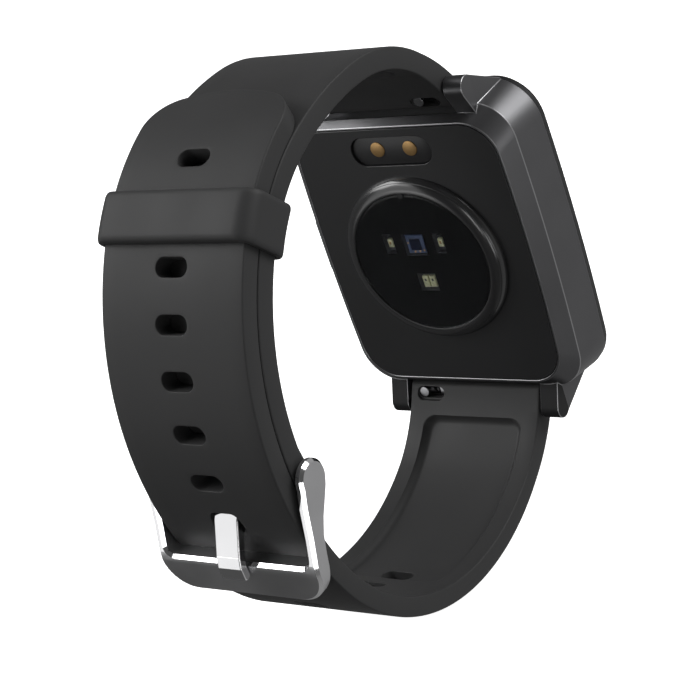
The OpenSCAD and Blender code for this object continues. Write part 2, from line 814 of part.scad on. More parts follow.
// Sliding pin with its tip at +X and the knob that draws it back
module release_pin(bar, knob_x, lean) {
    color(steel) {
        rod_x(bar, bar_bore_r - running_gap, knob_x - knob_end, bar_half);
        rod_x(bar, tip_r, bar_half, bar_half + tip_reach);
        translate([knob_x, bar[0], bar[1]]) rotate([lean, 0, 0]) {
            cylinder(r = knob_r, h = knob_h);
            translate([0, 0, knob_h - 0.1]) cylinder(r = knob_r + 0.15, h = knob_head_t);
        }
    }
}

// Coil spring along X
module coil(bar, from, to) {
    turns = 5;
    per_turn = 10;
    sides = 6;
    wire_r = 0.09;
    coil_r = 0.42;
    n = turns * per_turn;
    pitch = (to - from - 2 * wire_r) / n;
    rings = [for (k = [0:n]) let (t = 360 * k / per_turn, x = from + wire_r + pitch * k)
        [for (j = [0:sides - 1]) let (w = 360 * j / sides, r = coil_r + wire_r * cos(w))
            [x + wire_r * sin(w), r * cos(t), r * sin(t)]]];
    skin = [for (k = [0:n - 1], j = [0:sides - 1])
        let (a = k * sides + j, b = k * sides + (j + 1) % sides) [a, b, b + sides, a + sides]];
    color(steel) translate([0, bar[0], bar[1]])
        polyhedron([for (ring = rings, p = ring) p],
            concat([[for (j = [sides - 1:-1:0]) j]], skin, [[for (j = [0:sides - 1]) n * sides + j]]));
}

top_knob_x = top_slot_x + knob_from_slot;
bottom_knob_x = bottom_slot_x + knob_from_slot;
top_stop = top_knob_x - knob_end - spring_l;
bottom_stop = bottom_knob_x - knob_end - spring_l;

module top_bar_tube() { bar_tube(top_bar, top_stop, top_knob_x, top_lean); }
module top_bar_fixed_tip() { fixed_tip(top_bar); }
module top_bar_release_pin() { release_pin(top_bar, top_knob_x, top_lean); }
module top_bar_spring() { coil(top_bar, top_stop + 0.02, top_stop + spring_l - 0.02); }
module bottom_bar_tube() { bar_tube(bottom_bar, bottom_stop, bottom_knob_x, bottom_lean); }
module bottom_bar_fixed_tip() { fixed_tip(bottom_bar); }
module bottom_bar_release_pin() { release_pin(bottom_bar, bottom_knob_x, bottom_lean); }
module bottom_bar_spring() { coil(bottom_bar, bottom_stop + 0.02, bottom_stop + spring_l - 0.02); }

mid_frame();
back_cover();
back_seal();
sensor_ring();
sensor_window();
light_barrier();
green_leds();
red_ir_led();
photodiode();
sensor_board();
sensor_flex();
charge_insert();
charge_contacts();
charge_flex();
charge_magnets();
front_bezel();
glass_adhesive();
cover_glass();
display_panel();
display_bracket();
display_flex();
main_board();
board_screws();
shield_can();
board_chips();
battery();
battery_pad();
battery_tab();
antenna();
motor_case();
motor_shaft();
motor_rotor();
button_switch();
switch_plunger();
side_button();
button_seal();
button_clip();
short_strap();
long_strap();
keeper_loop();
buckle_frame();
buckle_bar();
buckle_tongue();
top_bar_tube();
top_bar_fixed_tip();
top_bar_release_pin();
top_bar_spring();
bottom_bar_tube();
bottom_bar_fixed_tip();
bottom_bar_release_pin();
bottom_bar_spring();
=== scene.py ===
"""Looks of the buckled smartwatch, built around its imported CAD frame.

Every shape is drawn in millimetres in the CAD frame (+Z is 12 o'clock, +Y points to the wrist)
and turned into metres when its mesh is made. Straps are drawn flat, as s along, x across and h
through the band, and are then bent along the same arcs as their CAD solids.
"""

import json
import math
from contextlib import contextmanager

import bmesh
import bpy
from mathutils import Matrix, Vector


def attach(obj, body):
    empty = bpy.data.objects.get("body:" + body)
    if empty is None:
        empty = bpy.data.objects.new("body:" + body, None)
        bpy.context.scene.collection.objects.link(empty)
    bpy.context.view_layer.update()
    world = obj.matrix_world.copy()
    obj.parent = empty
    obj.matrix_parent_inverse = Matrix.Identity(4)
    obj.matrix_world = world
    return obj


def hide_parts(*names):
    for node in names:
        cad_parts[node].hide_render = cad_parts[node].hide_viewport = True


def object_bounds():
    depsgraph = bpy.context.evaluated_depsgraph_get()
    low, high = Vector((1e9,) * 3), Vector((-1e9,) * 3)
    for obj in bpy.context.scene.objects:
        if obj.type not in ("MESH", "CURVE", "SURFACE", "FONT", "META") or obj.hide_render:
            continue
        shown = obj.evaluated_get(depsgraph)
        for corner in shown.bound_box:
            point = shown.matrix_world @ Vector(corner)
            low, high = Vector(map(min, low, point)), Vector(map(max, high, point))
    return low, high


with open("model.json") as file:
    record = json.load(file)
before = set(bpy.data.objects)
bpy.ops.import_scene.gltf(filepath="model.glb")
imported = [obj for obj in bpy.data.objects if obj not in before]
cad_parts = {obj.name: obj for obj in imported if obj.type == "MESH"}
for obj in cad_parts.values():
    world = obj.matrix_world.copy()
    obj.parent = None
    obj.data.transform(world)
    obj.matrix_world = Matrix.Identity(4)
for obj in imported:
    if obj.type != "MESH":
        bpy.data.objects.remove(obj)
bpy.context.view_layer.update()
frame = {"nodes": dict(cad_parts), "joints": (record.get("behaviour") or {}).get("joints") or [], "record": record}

MM = 0.001
NODES = frame["nodes"]
BODIES = frame["record"]["behaviour"]["bodies"]
BODY_OF = {node: body for body, members in BODIES.items() for node in members}
SLOT_OF = {part["node"]: part["material_slot"] for part in frame["record"]["subparts"]}
JOINTS = {joint["name"]: joint for joint in frame["joints"]}


def joint_axis(name):
    """Where a joint's axis crosses the side view, as (y, z) in millimetres."""
    _, y, z = JOINTS[name]["pos_m"]
    return y / MM, z / MM


def new_object(name, data):
    """Object at the origin, in the scene."""
    thing = bpy.data.objects.new(name, data)
    bpy.context.scene.collection.objects.link(thing)
    return thing


def set_inputs(node, **values):
    """Sets a shader node's sockets by name, where _ stands for a space."""
    for socket, value in values.items():
        node.inputs[socket.replace("_", " ")].default_value = value


# ---- Camera, floor and light, in metres ----

CAMERA_AT = (-0.145256, 0.188708, 0.107359)
CAMERA_FORWARD = (0.58648, -0.68079, -0.43882)
CAMERA_RIGHT = (-0.80972, -0.50596, -0.29724)
CAMERA_UP = Vector(CAMERA_RIGHT).cross(Vector(CAMERA_FORWARD))
LENS = 105.586
SENSOR_WIDTH = 36
CLIP_NEAR = 0.01
CLIP_FAR = 20

STAGE_X = 0
STAGE_Y = 0.02
FLOOR_SIZE = 6
FLOOR_GAP = 0.0004
BACKDROP_R = 2.8
PAINT_TONE = (0.9, 0.9, 0.9, 1)
PAINT_GLOW = 0.97

# The room's brighter side, then the range of facing over which it brightens and its two strengths
ROOM_BRIGHT_SIDE = (-0.6, -0.6, -0.44)
ROOM_RANGE = dict(From_Min=0.0, From_Max=0.6, To_Min=0.08, To_Max=0.36)

# Each softbox: where it stands, its width and height, and its power in watts
SOFTBOXES = {
    "key": ((0.31, 0.4, 0.1), (0.3, 0.5), 0.45),
    "key_high": ((0.3, 0.27, 0.34), (0.28, 0.16), 0.25),
    "left_high": ((0.45, 0.2, 0.35), (0.3, 0.3), 1.45),
    "top": ((0.1, 0.1, 0.5), (0.4, 0.3), 0.4),
    "corner": ((-0.33, -0.16, 0.29), (0.3, 0.3), 1.35),
    "right_front": ((-0.34, 0.35, -0.06), (0.16, 0.2), 0.3),
    "ring_glint": ((-0.19, 0.45, 0.08), (0.05, 0.2), 0.12),
    "low": ((0.22, 0.42, 0.0), (0.2, 0.06), 0.05),
}


def make_camera():
    """Camera behind the watch, above it and on its -X side."""
    data = bpy.data.cameras.new("camera")
    data.lens = LENS
    data.sensor_width = SENSOR_WIDTH
    data.clip_start = CLIP_NEAR
    data.clip_end = CLIP_FAR
    camera = new_object("camera", data)
    axes = [Vector(CAMERA_RIGHT).normalized(), CAMERA_UP.normalized(), -Vector(CAMERA_FORWARD).normalized()]
    turned_to = Matrix(axes).transposed().to_4x4()
    camera.matrix_world = Matrix.Translation(CAMERA_AT) @ turned_to
    bpy.context.scene.camera = camera


def make_softbox(name, at, size, power):
    """Rectangular area light that faces the middle of the stage."""
    data = bpy.data.lights.new(name, "AREA")
    data.shape = "RECTANGLE"
    data.size, data.size_y = size
    data.energy = power
    light = new_object(name, data)
    light.location = at
    light.rotation_mode = "QUATERNION"
    light.rotation_quaternion = (Vector((STAGE_X, STAGE_Y, 0)) - Vector(at)).to_track_quat("-Z", "Y")


def make_room():
    """Dim room that brightens towards one side."""
    world = bpy.data.worlds.new("studio")
    world.use_nodes = True
    tree = world.node_tree
    coords = tree.nodes.new("ShaderNodeTexCoord")
    facing = tree.nodes.new("ShaderNodeVectorMath")
    facing.operation = "DOT_PRODUCT"
    facing.inputs[1].default_value = ROOM_BRIGHT_SIDE
    glow = tree.nodes.new("ShaderNodeMapRange")
    glow.interpolation_type = "SMOOTHSTEP"
    set_inputs(glow, **ROOM_RANGE)
    background = tree.nodes["Background"]
    set_inputs(background, Color=(1, 1, 1, 1))
    tree.links.new(coords.outputs["Generated"], facing.inputs[0])
    tree.links.new(facing.outputs["Value"], glow.inputs["Value"])
    tree.links.new(glow.outputs["Result"], background.inputs["Strength"])
    bpy.context.scene.world = world


def make_stage():
    """Pale floor and backdrop, which only the camera sees, so that the watch doesn't mirror them."""
    floor_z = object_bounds()[0].z
    paint, _, shader = new_material("floor_paint")
    set_inputs(shader, Base_Color=PAINT_TONE, Roughness=0.9, Specular_IOR_Level=0.1,
               Emission_Color=(1, 1, 1, 1), Emission_Strength=PAINT_GLOW)
    bpy.ops.mesh.primitive_plane_add(size=FLOOR_SIZE, location=(STAGE_X, STAGE_Y, floor_z - FLOOR_GAP))
    floor = bpy.context.object
    floor.name = "floor"
    bpy.ops.mesh.primitive_uv_sphere_add(radius=BACKDROP_R, location=(STAGE_X, STAGE_Y, floor_z))
    backdrop = bpy.context.object
    backdrop.name = "backdrop"
    backdrop.visible_shadow = False
    for surround in (floor, backdrop):
        surround.data.materials.append(paint)
        surround.visible_diffuse = False
        surround.visible_glossy = False
        surround.visible_transmission = False


def make_studio():
    """Floor and backdrop, dim room light and softboxes."""
    make_stage()
    make_room()
    for name, (at, size, power) in SOFTBOXES.items():
        make_softbox(name, at, size, power)
    bpy.context.scene.view_settings.view_transform = "Standard"


# ---- Materials ----

# Noise below the first value and above the second counts as all dark or all light
NOISE_ENDS = (0.2, 0.8)


def new_material(name):
    material = bpy.data.materials.new(name)
    material.use_nodes = True
    tree = material.node_tree
    return material, tree, tree.nodes["Principled BSDF"]


def add_noise(tree, scale, detail=3.0, stretch=(1, 1, 1)):
    """Noise over the object's own coordinates, with scale in features per metre."""
    coords = tree.nodes.new("ShaderNodeTexCoord")
    mapping = tree.nodes.new("ShaderNodeMapping")
    set_inputs(mapping, Scale=stretch)
    noise = tree.nodes.new("ShaderNodeTexNoise")
    set_inputs(noise, Scale=scale, Detail=detail)
    tree.links.new(coords.outputs["Object"], mapping.inputs["Vector"])
    tree.links.new(mapping.outputs["Vector"], noise.inputs["Vector"])
    return noise.outputs["Fac"]


def add_range(tree, value, low, high, socket):
    """Spreads a noise over low to high and feeds it to a socket."""
    spread = tree.nodes.new("ShaderNodeMapRange")
    spread.interpolation_type = "SMOOTHSTEP"
    set_inputs(spread, From_Min=NOISE_ENDS[0], From_Max=NOISE_ENDS[1], To_Min=low, To_Max=high)
    tree.links.new(value, spread.inputs["Value"])
    tree.links.new(spread.outputs["Result"], socket)


def add_tones(tree, value, tones, socket):
    """Mixes a dark and a light tone by a noise and feeds the colour to a socket."""
    ramp = tree.nodes.new("ShaderNodeValToRGB")
    ramp.color_ramp.interpolation = "EASE"
    for stop, position, tone in zip(ramp.color_ramp.elements, NOISE_ENDS, tones):
        stop.position = position
        stop.color = (*tone, 1)
    tree.links.new(value, ramp.inputs["Fac"])
    tree.links.new(ramp.outputs["Color"], socket)


def add_bump(tree, shader, value, depth, strength):
    bump = tree.nodes.new("ShaderNodeBump")
    set_inputs(bump, Distance=depth, Strength=strength)
    tree.links.new(value, bump.inputs["Height"])
    tree.links.new(bump.outputs["Normal"], shader.inputs["Normal"])


def surface(name, tone, rough, metal=0.0, spread=0.12, rough_spread=0.05, grain=9000, grain_depth=2e-6,
            grain_strength=0.3, blotch=120, stretch=(1, 1, 1), **constants):
    """Procedural finish: broad tone and roughness drift, and a fine grain."""
    material, tree, shader = new_material(name)
    drift = add_noise(tree, blotch, 4)
    tones = [[min(1, c * k) for c in tone] for k in (1 - spread, 1 + spread)]
    add_tones(tree, drift, tones, shader.inputs["Base Color"])
    add_range(tree, drift, rough - rough_spread, rough + rough_spread, shader.inputs["Roughness"])
    add_bump(tree, shader, add_noise(tree, grain, 2, stretch), grain_depth, grain_strength)
    set_inputs(shader, Metallic=metal, **constants)
    return material


# One entry for each material slot but the clear window's, and for the finishes that only some faces have
FINISHES = {
    "case_finish": dict(tone=(0.15, 0.15, 0.155), rough=0.38, metal=0.9, spread=0.05, rough_spread=0.02,
                        grain=16000, grain_depth=1.5e-6),
    # Lighter copy of the case finish on the rounded edges, a painted highlight along the crease and edges
    "case_chamfer_painted_highlight": dict(tone=(0.4, 0.4, 0.41), rough=0.32, metal=0.95, spread=0.05, rough_spread=0.02),
    # Darker, duller copy of the case finish, put on the lower lugs as painted shade
    "lower_lug_painted_shade": dict(tone=(0.014, 0.014, 0.0145), rough=0.55, grain=16000, grain_depth=1.5e-6,
                       Specular_IOR_Level=0.25),
    "cover_finish": dict(tone=(0.018, 0.018, 0.019), rough=0.4, spread=0.03, rough_spread=0.012, grain=7000,
                         grain_strength=0.1),
    "sensor_ring_finish": dict(tone=(0.03, 0.03, 0.031), rough=0.2, spread=0.03, rough_spread=0.01,
                               grain=7000, grain_strength=0.01, Specular_IOR_Level=0.85),
    "barrier_black": dict(tone=(0.008, 0.008, 0.008), rough=0.6, Specular_IOR_Level=0.15),
    "led_lens": dict(tone=(0.88, 0.84, 0.52), rough=0.25, spread=0.2, blotch=3000),
    "diode_glass": dict(tone=(0.13, 0.17, 0.29), rough=0.25, metal=0.1),
    "diode_die": dict(tone=(0.012, 0.018, 0.045), rough=0.15),
    "board_laminate": dict(tone=(0.02, 0.13, 0.06), rough=0.35),
    "chip_black": dict(tone=(0.03, 0.03, 0.03), rough=0.5),
    "flex_film": dict(tone=(0.42, 0.17, 0.03), rough=0.3),
    "insert_black": dict(tone=(0.022, 0.022, 0.023), rough=0.38, grain=14000),
    "contact_gold": dict(tone=(0.5, 0.31, 0.13), rough=0.36, metal=0.85, grain=20000, spread=0.05),
    "well_grey": dict(tone=(0.16, 0.16, 0.17), rough=0.5),
    "magnet_nickel": dict(tone=(0.6, 0.6, 0.6), rough=0.2, metal=1.0),
    "bezel_black": dict(tone=(0.012, 0.012, 0.013), rough=0.25),
    "display_glass": dict(tone=(0.004, 0.004, 0.005), rough=0.05, rough_spread=0.015, grain_strength=0.02),
    "panel_black": dict(tone=(0.01, 0.01, 0.014), rough=0.2),
    "stamped_steel": dict(tone=(0.55, 0.55, 0.56), rough=0.35, metal=1.0, stretch=(1, 1, 12)),
    "battery_foil": dict(tone=(0.5, 0.51, 0.53), rough=0.3, metal=0.9, grain=1500, grain_depth=2e-5),
    "foam_grey": dict(tone=(0.06, 0.06, 0.06), rough=0.85, grain=5000, grain_depth=2e-5),
    "tape_yellow": dict(tone=(0.7, 0.5, 0.07), rough=0.4),
    "button_finish": dict(tone=(0.1, 0.1, 0.104), rough=0.3, metal=0.9, stretch=(1, 8, 1)),
    "seal_rubber": dict(tone=(0.03, 0.03, 0.03), rough=0.6),
    "strap_silicone": dict(tone=(0.034, 0.034, 0.0345), rough=0.55, spread=0.05, grain=11000,
                           grain_depth=6e-6, grain_strength=0.3, Sheen_Weight=0.03, Sheen_Roughness=0.5,
                           Specular_IOR_Level=0.3),
    "polished_steel": dict(tone=(0.8, 0.8, 0.81), rough=0.09, metal=1.0, spread=0.04, rough_spread=0.02,
                           grain_strength=0.04),
    # Steel made darker than it is, so that the pin in the knob's slot reads as shade: painted shade
    "pin_steel": dict(tone=(0.3, 0.3, 0.31), rough=0.4, metal=1.0, stretch=(10, 1, 1)),
    "knob_steel": dict(tone=(0.3, 0.3, 0.31), rough=0.28, metal=1.0, spread=0.05, rough_spread=0.02),
    "satin_steel": dict(tone=(0.64, 0.64, 0.65), rough=0.34, metal=1.0, spread=0.06, grain=14000,
                        grain_depth=3e-6, stretch=(0.12, 1, 1)),
}
made_finishes = {}


def glass_window():
    """Clear window over the sensor wells, a little smoky."""
    material, tree, shader = new_material("sensor_glass")
    add_range(tree, add_noise(tree, 300), 0.02, 0.05, shader.inputs["Roughness"])
    set_inputs(shader, Base_Color=(0.8, 0.82, 0.84, 1), Transmission_Weight=1.0, IOR=1.25)
    return material


def finish(name):
    """A finish by name, made the first time that it is asked for."""
    if name not in made_finishes:
        made_finishes[name] = glass_window() if name == "sensor_glass" else surface(name, **FINISHES[name])
    return made_finishes[name]


# ---- Mesh helpers ----

# Edges sharper than this many degrees are shaded crisp
CRISP = 32
# Neighbouring faces that meet within this many degrees are one flat face
FLAT_WITHIN = 0.6
# Points of a drawn, a CAD and a cut mesh that are closer than this many metres are one point
SAME_DRAWN = 1e-7
SAME_CAD = 2e-6
SAME_CUT = 1e-5
ROD_STEPS = 32
BLOCK_CHAMFER = 0.05
# Lengths closer than this are the same
TINY = 1e-6


def cosd(a):
    return math.cos(math.radians(a))


def sind(a):
    return math.sin(math.radians(a))


def mix(a, b, t):
    return a + (b - a) * t


def between(p, q, t):
    """Point that is the share t of the way from p to q."""
    return tuple(mix(a, b, t) for a, b in zip(p, q))


def shade(mesh, angle=CRISP):
    mesh.shade_smooth()
    mesh.set_sharp_from_angle(angle=math.radians(angle))


@contextmanager
def editing(mesh):
    """Opens a mesh for bmesh operations, then writes it back."""
    work = bmesh.new()
    work.from_mesh(mesh)
    yield work
    work.to_mesh(mesh)
    work.free()


def piece(name, node, points, faces, finishes=None, angle=CRISP, tags=None):
    """Makes a closed mesh from millimetre points. Its finish is its CAD node's unless others are given."""
    mesh = bpy.data.meshes.new(name)
    mesh.from_pydata([Vector(p) * MM for p in points], [], faces)
    if tags:
        mesh.polygons.foreach_set("material_index", tags)
    with editing(mesh) as work:
        bmesh.ops.remove_doubles(work, verts=work.verts, dist=SAME_DRAWN)
        bmesh.ops.dissolve_degenerate(work, edges=work.edges, dist=SAME_DRAWN)
        bmesh.ops.recalc_face_normals(work, faces=work.faces)
    for material in finishes or [finish(SLOT_OF[node])]:
        mesh.materials.append(material)
    shade(mesh, angle)
    return new_object(name, mesh)


def repaint(thing, index, wanted):
    """Gives the finish in one of a piece's slots to the faces for which wanted is true."""
    for face in thing.data.polygons:
        if wanted(face):
            face.material_index = index


def adopt(thing, node):
    """Lets a new piece stand for a CAD node, on its body, and hides the node."""
    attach(thing, BODY_OF[node])
    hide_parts(node)
    return thing


def applied(thing):
    """Bakes a piece's modifiers into its mesh."""
    bpy.context.view_layer.update()
    solid = bpy.data.meshes.new_from_object(thing.evaluated_get(bpy.context.evaluated_depsgraph_get()))
    thing.modifiers.clear()
    thing.data = solid
    return thing


def cut(thing, cutters, angle=CRISP, operation="DIFFERENCE"):
    """Boolean of closed cutters, each given as (points, faces) in millimetres."""
    for points, faces in cutters:
        cutter = piece("cutter", None, points, faces, [thing.data.materials[0]])
        step = thing.modifiers.new("cut", "BOOLEAN")
        step.operation = operation
        step.solver = "EXACT"
        step.object = cutter
        applied(thing)
        bpy.data.objects.remove(cutter)
    shade(thing.data, angle)
    return thing


def merge_flat(mesh, distance):
    """Joins doubled points, then makes one face of the triangles of each flat face."""
    flat = math.radians(FLAT_WITHIN)
    with editing(mesh) as work:
        bmesh.ops.remove_doubles(work, verts=work.verts, dist=distance)
        bmesh.ops.dissolve_limit(work, angle_limit=flat, verts=work.verts, edges=work.edges)


def add_bevel(thing, width, segments, limit, clamp=False, material=-1):
    """Rounds the edges sharper than limit degrees. The rounded faces can get a finish of their own."""
    step = thing.modifiers.new("soft_edges", "BEVEL")
    step.width = width * MM
    step.segments = segments
    step.limit_method = "ANGLE"
    step.angle_limit = math.radians(limit)
    step.use_clamp_overlap = clamp
    step.material = material


def even_out(thing, angle):
    """Applies a piece's bevel with shading that leaves its large faces flat."""
    shade(thing.data, angle)
    weigh = thing.modifiers.new("flat_faces", "WEIGHTED_NORMAL")
    weigh.keep_sharp = True
    applied(thing)


def refined(node, width, segments=2, limit=30, finishes=None, angle=CRISP, clamp=False, even=True):
    """A copy of a CAD solid with its hard edges rounded, where a second finish goes on the rounding."""
    thing = new_object(node + "_shape", NODES[node].data.copy())
    merge_flat(thing.data, SAME_CAD)
    finishes = finishes or [finish(SLOT_OF[node])]
    thing.data.materials.clear()
    for material in finishes:
        thing.data.materials.append(material)
    repaint(thing, 0, lambda face: True)
    if width:
        add_bevel(thing, width, segments, limit, clamp, 1 if len(finishes) > 1 else -1)
    if even:
        even_out(thing, angle)
    else:
        applied(thing)
        shade(thing.data, angle)
    return adopt(thing, node)


def turned(profile, centre=(0, 0), steps=128):
    """Solid of revolution about a line along Y. Its profile of (radius, y) closes, or ends on the axis."""
    points, faces = [], []
    closed = profile[0][0] > 0
    for k in range(steps):
        w = 2 * math.pi * k / steps
        points += [(centre[0] + r * math.cos(w), y, centre[1] + r * math.sin(w)) for r, y in profile]
    n = len(profile)
    for k in range(steps):
        a, b = k * n, (k + 1) % steps * n
        for i in range(n if closed else n - 1):
            j = (i + 1) % n
            faces.append([a + i, b + i, b + j, a + j])
    return points, faces


def stack(levels):
    """Closed skin through outlines of equal length, given as lists of 3-D points."""
    n = len(levels[0])
    points = [p for level in levels for p in level]
    faces = [list(range(n - 1, -1, -1)), list(range((len(levels) - 1) * n, len(levels) * n))]
    faces += [[k * n + i, k * n + (i + 1) % n, (k + 1) * n + (i + 1) % n, (k + 1) * n + i]
              for k in range(len(levels) - 1) for i in range(n)]
    return points, faces


def rod_x(at, r, x0, x1):
    """Closed rod along X at (y, z)."""
    turns = [2 * math.pi * k / ROD_STEPS for k in range(ROD_STEPS)]
    return stack([[(x, at[0] + r * math.cos(w), at[1] + r * math.sin(w)) for w in turns] for x in (x0, x1)])


def stadium(length, width, grow=0.0, steps=12):
    """Outline of a bar with round ends along its first axis."""
    r, half = width / 2 + grow, (length - width) / 2
    turns = [180 * i / steps for i in range(steps + 1)]
    return [(c + r * cosd(a + w), r * sind(a + w)) for c, a in ((half, -90), (-half, 90)) for w in turns]


def block(x, z, half_x, half_z, y0, y1):
    """Block round (x, z) from y0 up to y1, with chamfered upper edges."""
    corners = ((-1, -1), (1, -1), (1, 1), (-1, 1))
    levels = [(y0, 0), (y1 - BLOCK_CHAMFER, 0), (y1, BLOCK_CHAMFER)]
    return stack([[(x + p * (half_x - e), y, z + q * (half_z - e)) for p, q in corners] for y, e in levels])


def extruded_x(outline, x0, x1):
    """Closed block along X whose section is an outline of (y, z)."""
    return stack([[(x, y, z) for y, z in outline] for x in (x0, x1)])


def extruded_y(outline, y0, y1):
    """Closed block along Y whose section is an outline of (x, z)."""
    return stack([[(x, y, z) for x, z in outline] for y in (y0, y1)])


# ---- Strap loop, in the side view ----

STRAP_HALF = 10.0
SHORT_T = 2.7
LONG_T = 2.5
STRAP_GAP = 0.12

# A centre line is a start (y, z, heading) and arcs (radius, degrees), where left turns are positive
SHORT_START = (46.45, 2.0, 90)
SHORT_ARCS = [(33.25, 38), (24.25, 35), (38.1, 20), (18.8, 38)]
TAIL_OFFSET = SHORT_T / 2 + STRAP_GAP + LONG_T / 2
TAIL_START = (SHORT_START[0] + TAIL_OFFSET, SHORT_START[1], 90)
TAIL_ARCS = [(r + TAIL_OFFSET, a) for r, a in SHORT_ARCS[:2]] + [(SHORT_ARCS[2][0] + TAIL_OFFSET, 5.85)]
LOWER_START = (TAIL_START[0], TAIL_START[1], 270)
LOWER_ARCS = [(-42, -25), (-28.5, -60), (-29, -33)]

# Spring bars at the case, and the bar of the buckle
TOP_BAR = (-2.3, 21.5)
BOTTOM_BAR = (-2.3, -21.5)
BAR_BORE_R = 0.95
KNUCKLE_R = 1.7
PIVOT = joint_axis("buckle_lift")
BUCKLE_BORE_R = 0.78
STRAP_END_R = 1.55
# Degrees that the band's two faces go round a bar before they meet
ROOT_SWEEP = 84
# Rounding of the strap's long edges
EDGE_R = 0.22
STRAP_CRISP = 40


def path_length(arcs):
    return sum(math.radians(r * a) for r, a in arcs)


def turn(pose, r, a):
    """Pose at the end of an arc of radius r and a degrees."""
    y, z, w = pose
    return y + r * (sind(w + a) - sind(w)), z + r * (cosd(w) - cosd(w + a)), w + a


def pose_at(start, arcs, s):
    """Place and heading at path length s. Beyond the last arc, its circle goes on."""
    pose = start
    for i, (r, a) in enumerate(arcs):
        length = math.radians(r * a)
        if s <= length or i == len(arcs) - 1:
            return turn(pose, r, math.degrees(s / r))
        pose = turn(pose, r, a)
        s -= length


def left_of(pose, off):
    """Point beside a pose, off to its left."""
    return pose[0] - off * sind(pose[2]), pose[1] + off * cosd(pose[2])


class Band:
    """A strap's side view: rib(s) gives the inner and outer point at the length s."""

    def __init__(self, thickness, up, down, root_bar, root_up):
        self.half = thickness / 2
        self.up, self.down, self.bar, self.root_up = up, down, root_bar, root_up
        start, arcs, self.side = up if root_up else down
        self.body = path_length(arcs)
        self.end = pose_at(start, arcs, self.body)
        run = (root_bar[0] - self.end[0], root_bar[1] - self.end[1])
        ahead = run[0] * cosd(self.end[2]) + run[1] * sind(self.end[2])
        aside = run[1] * cosd(self.end[2]) - run[0] * sind(self.end[2])
        self.root_r = (run[0] ** 2 + run[1] ** 2) / (2 * aside)
        self.root_turn = math.degrees(2 * math.atan(aside / ahead))
        self.root = math.radians(self.root_r * self.root_turn)

    def rib(self, s):
        beyond = (s if self.root_up else -s) - self.body
        if beyond > 0:
            return self.root_rib(beyond)
        if s >= 0 or self.down is None:
            start, arcs, side = self.up
            pose = pose_at(start, arcs, max(s, 0))
            if s < 0:
                return self.buckle_rib(-s, pose, side)
        else:
            start, arcs, side = self.down
            pose = pose_at(start, arcs, -s)
        return left_of(pose, side * self.half), left_of(pose, -side * self.half)

    def root_rib(self, beyond):
        """An arc leads to the spring bar while the band widens, then it closes round the bar."""
        t = min(1, beyond / self.root)
        pose = turn(self.end, self.root_r, self.root_turn * t)
        if t < 1:
            half = self.side * mix(self.half, KNUCKLE_R, t)
            return left_of(pose, half), left_of(pose, -half)
        w = min(math.degrees((beyond - self.root) / KNUCKLE_R), ROOT_SWEEP)
        turns = [pose[2] + q * (90 - w) for q in (self.side, -self.side)]
        return tuple((self.bar[0] + KNUCKLE_R * cosd(a), self.bar[1] + KNUCKLE_R * sind(a)) for a in turns)

    def buckle_rib(self, below, pose, side):
        """Straight part down to the buckle bar, then round it."""
        drop = pose[1] - PIVOT[1]
        w = min(math.degrees(max(0, below - drop) / STRAP_END_R), ROOT_SWEEP)
        ribs = []
        for q in (-1, 1):
            end = (PIVOT[0] + q * STRAP_END_R * cosd(w), PIVOT[1] - STRAP_END_R * sind(w))
            ribs.append(between(left_of(pose, -q * side * self.half), end, min(1, below / drop)))
        return ribs

    def place(self, s, x, h):
        """h is -1 on the wrist side and 1 on the outside."""
        return x, *between(*self.rib(s), (h + 1) / 2)


SHORT = Band(SHORT_T, (SHORT_START, SHORT_ARCS, 1), None, TOP_BAR, True)
LONG = Band(LONG_T, (TAIL_START, TAIL_ARCS, 1), (LOWER_START, LOWER_ARCS, -1), BOTTOM_BAR, False)


class Skin:
    """Faces over shared points (s, x, h) of a band drawn flat."""

    def __init__(self, band):
        self.band, self.index, self.flat, self.faces = band, {}, [], []

    def point(self, p):
        key = tuple(round(c, 4) for c in p)
        if key not in self.index:
            self.index[key] = len(self.flat)
            self.flat.append(p)
        return self.index[key]

    def face(self, *corners):
        ring = []
        for i in map(self.point, corners):
            if i not in ring:
                ring.append(i)
        if len(ring) > 2:
            self.faces.append(ring)

    def strip(self, a, b):
        for i in range(len(a) - 1):
            self.face(a[i], a[i + 1], b[i + 1], b[i])

    def zip(self, a, b):
        """Triangles between two rows whose points lie at different x."""
        i = j = 0
        while i < len(a) - 1 or j < len(b) - 1:
            if j == len(b) - 1 or (i < len(a) - 1 and a[i + 1][1] <= b[j + 1][1]):
                self.face(a[i], a[i + 1], b[j])
                i += 1
            else:
                self.face(a[i], b[j + 1], b[j])
                j += 1

    def solid(self, name, node):
        points = [self.band.place(*p) for p in self.flat]
        return piece(name, node, points, self.faces, angle=STRAP_CRISP)


def spaced(a, b, step):
    """Even values from a to b, at most a step apart."""
    n = max(1, math.ceil(abs(b - a) / step - TINY))
    return [a + (b - a) * i / n for i in range(n + 1)]


def joined(*runs):
    """Runs end to end, with shared ends once."""
    out = list(runs[0])
    for run in runs[1:]:
        out += run[1:] if abs(run[0] - out[-1]) < TINY else run
    return out


def mirrored(right):
    return [-x for x in reversed(right)]


# Columns across the band. The block in the middle takes the position holes and is the same everywhere.
FLAT = STRAP_HALF - EDGE_R
BLOCK = 3.2
BLOCK_STEPS = 12
BLOCK_COLS = [BLOCK * (2 * i / BLOCK_STEPS - 1) for i in range(BLOCK_STEPS + 1)]
# Columns beside the block: plain ones, and ones that are close together over the recess's wall
RIGHT_PLAIN = [BLOCK, 5.5, 7.8, FLAT]
RIGHT_FINE = joined([BLOCK, 4.2, 5.2], spaced(5.2, 7.6, 0.12), [7.75, 8.4, FLAT])
# Columns across the whole band, and those of the wrist face at the root, where the slot is cut
PLAIN, FINE = [joined(mirrored(right), BLOCK_COLS, right) for right in (RIGHT_PLAIN, RIGHT_FINE)]
DENSE = spaced(-FLAT, FLAT, 0.3)
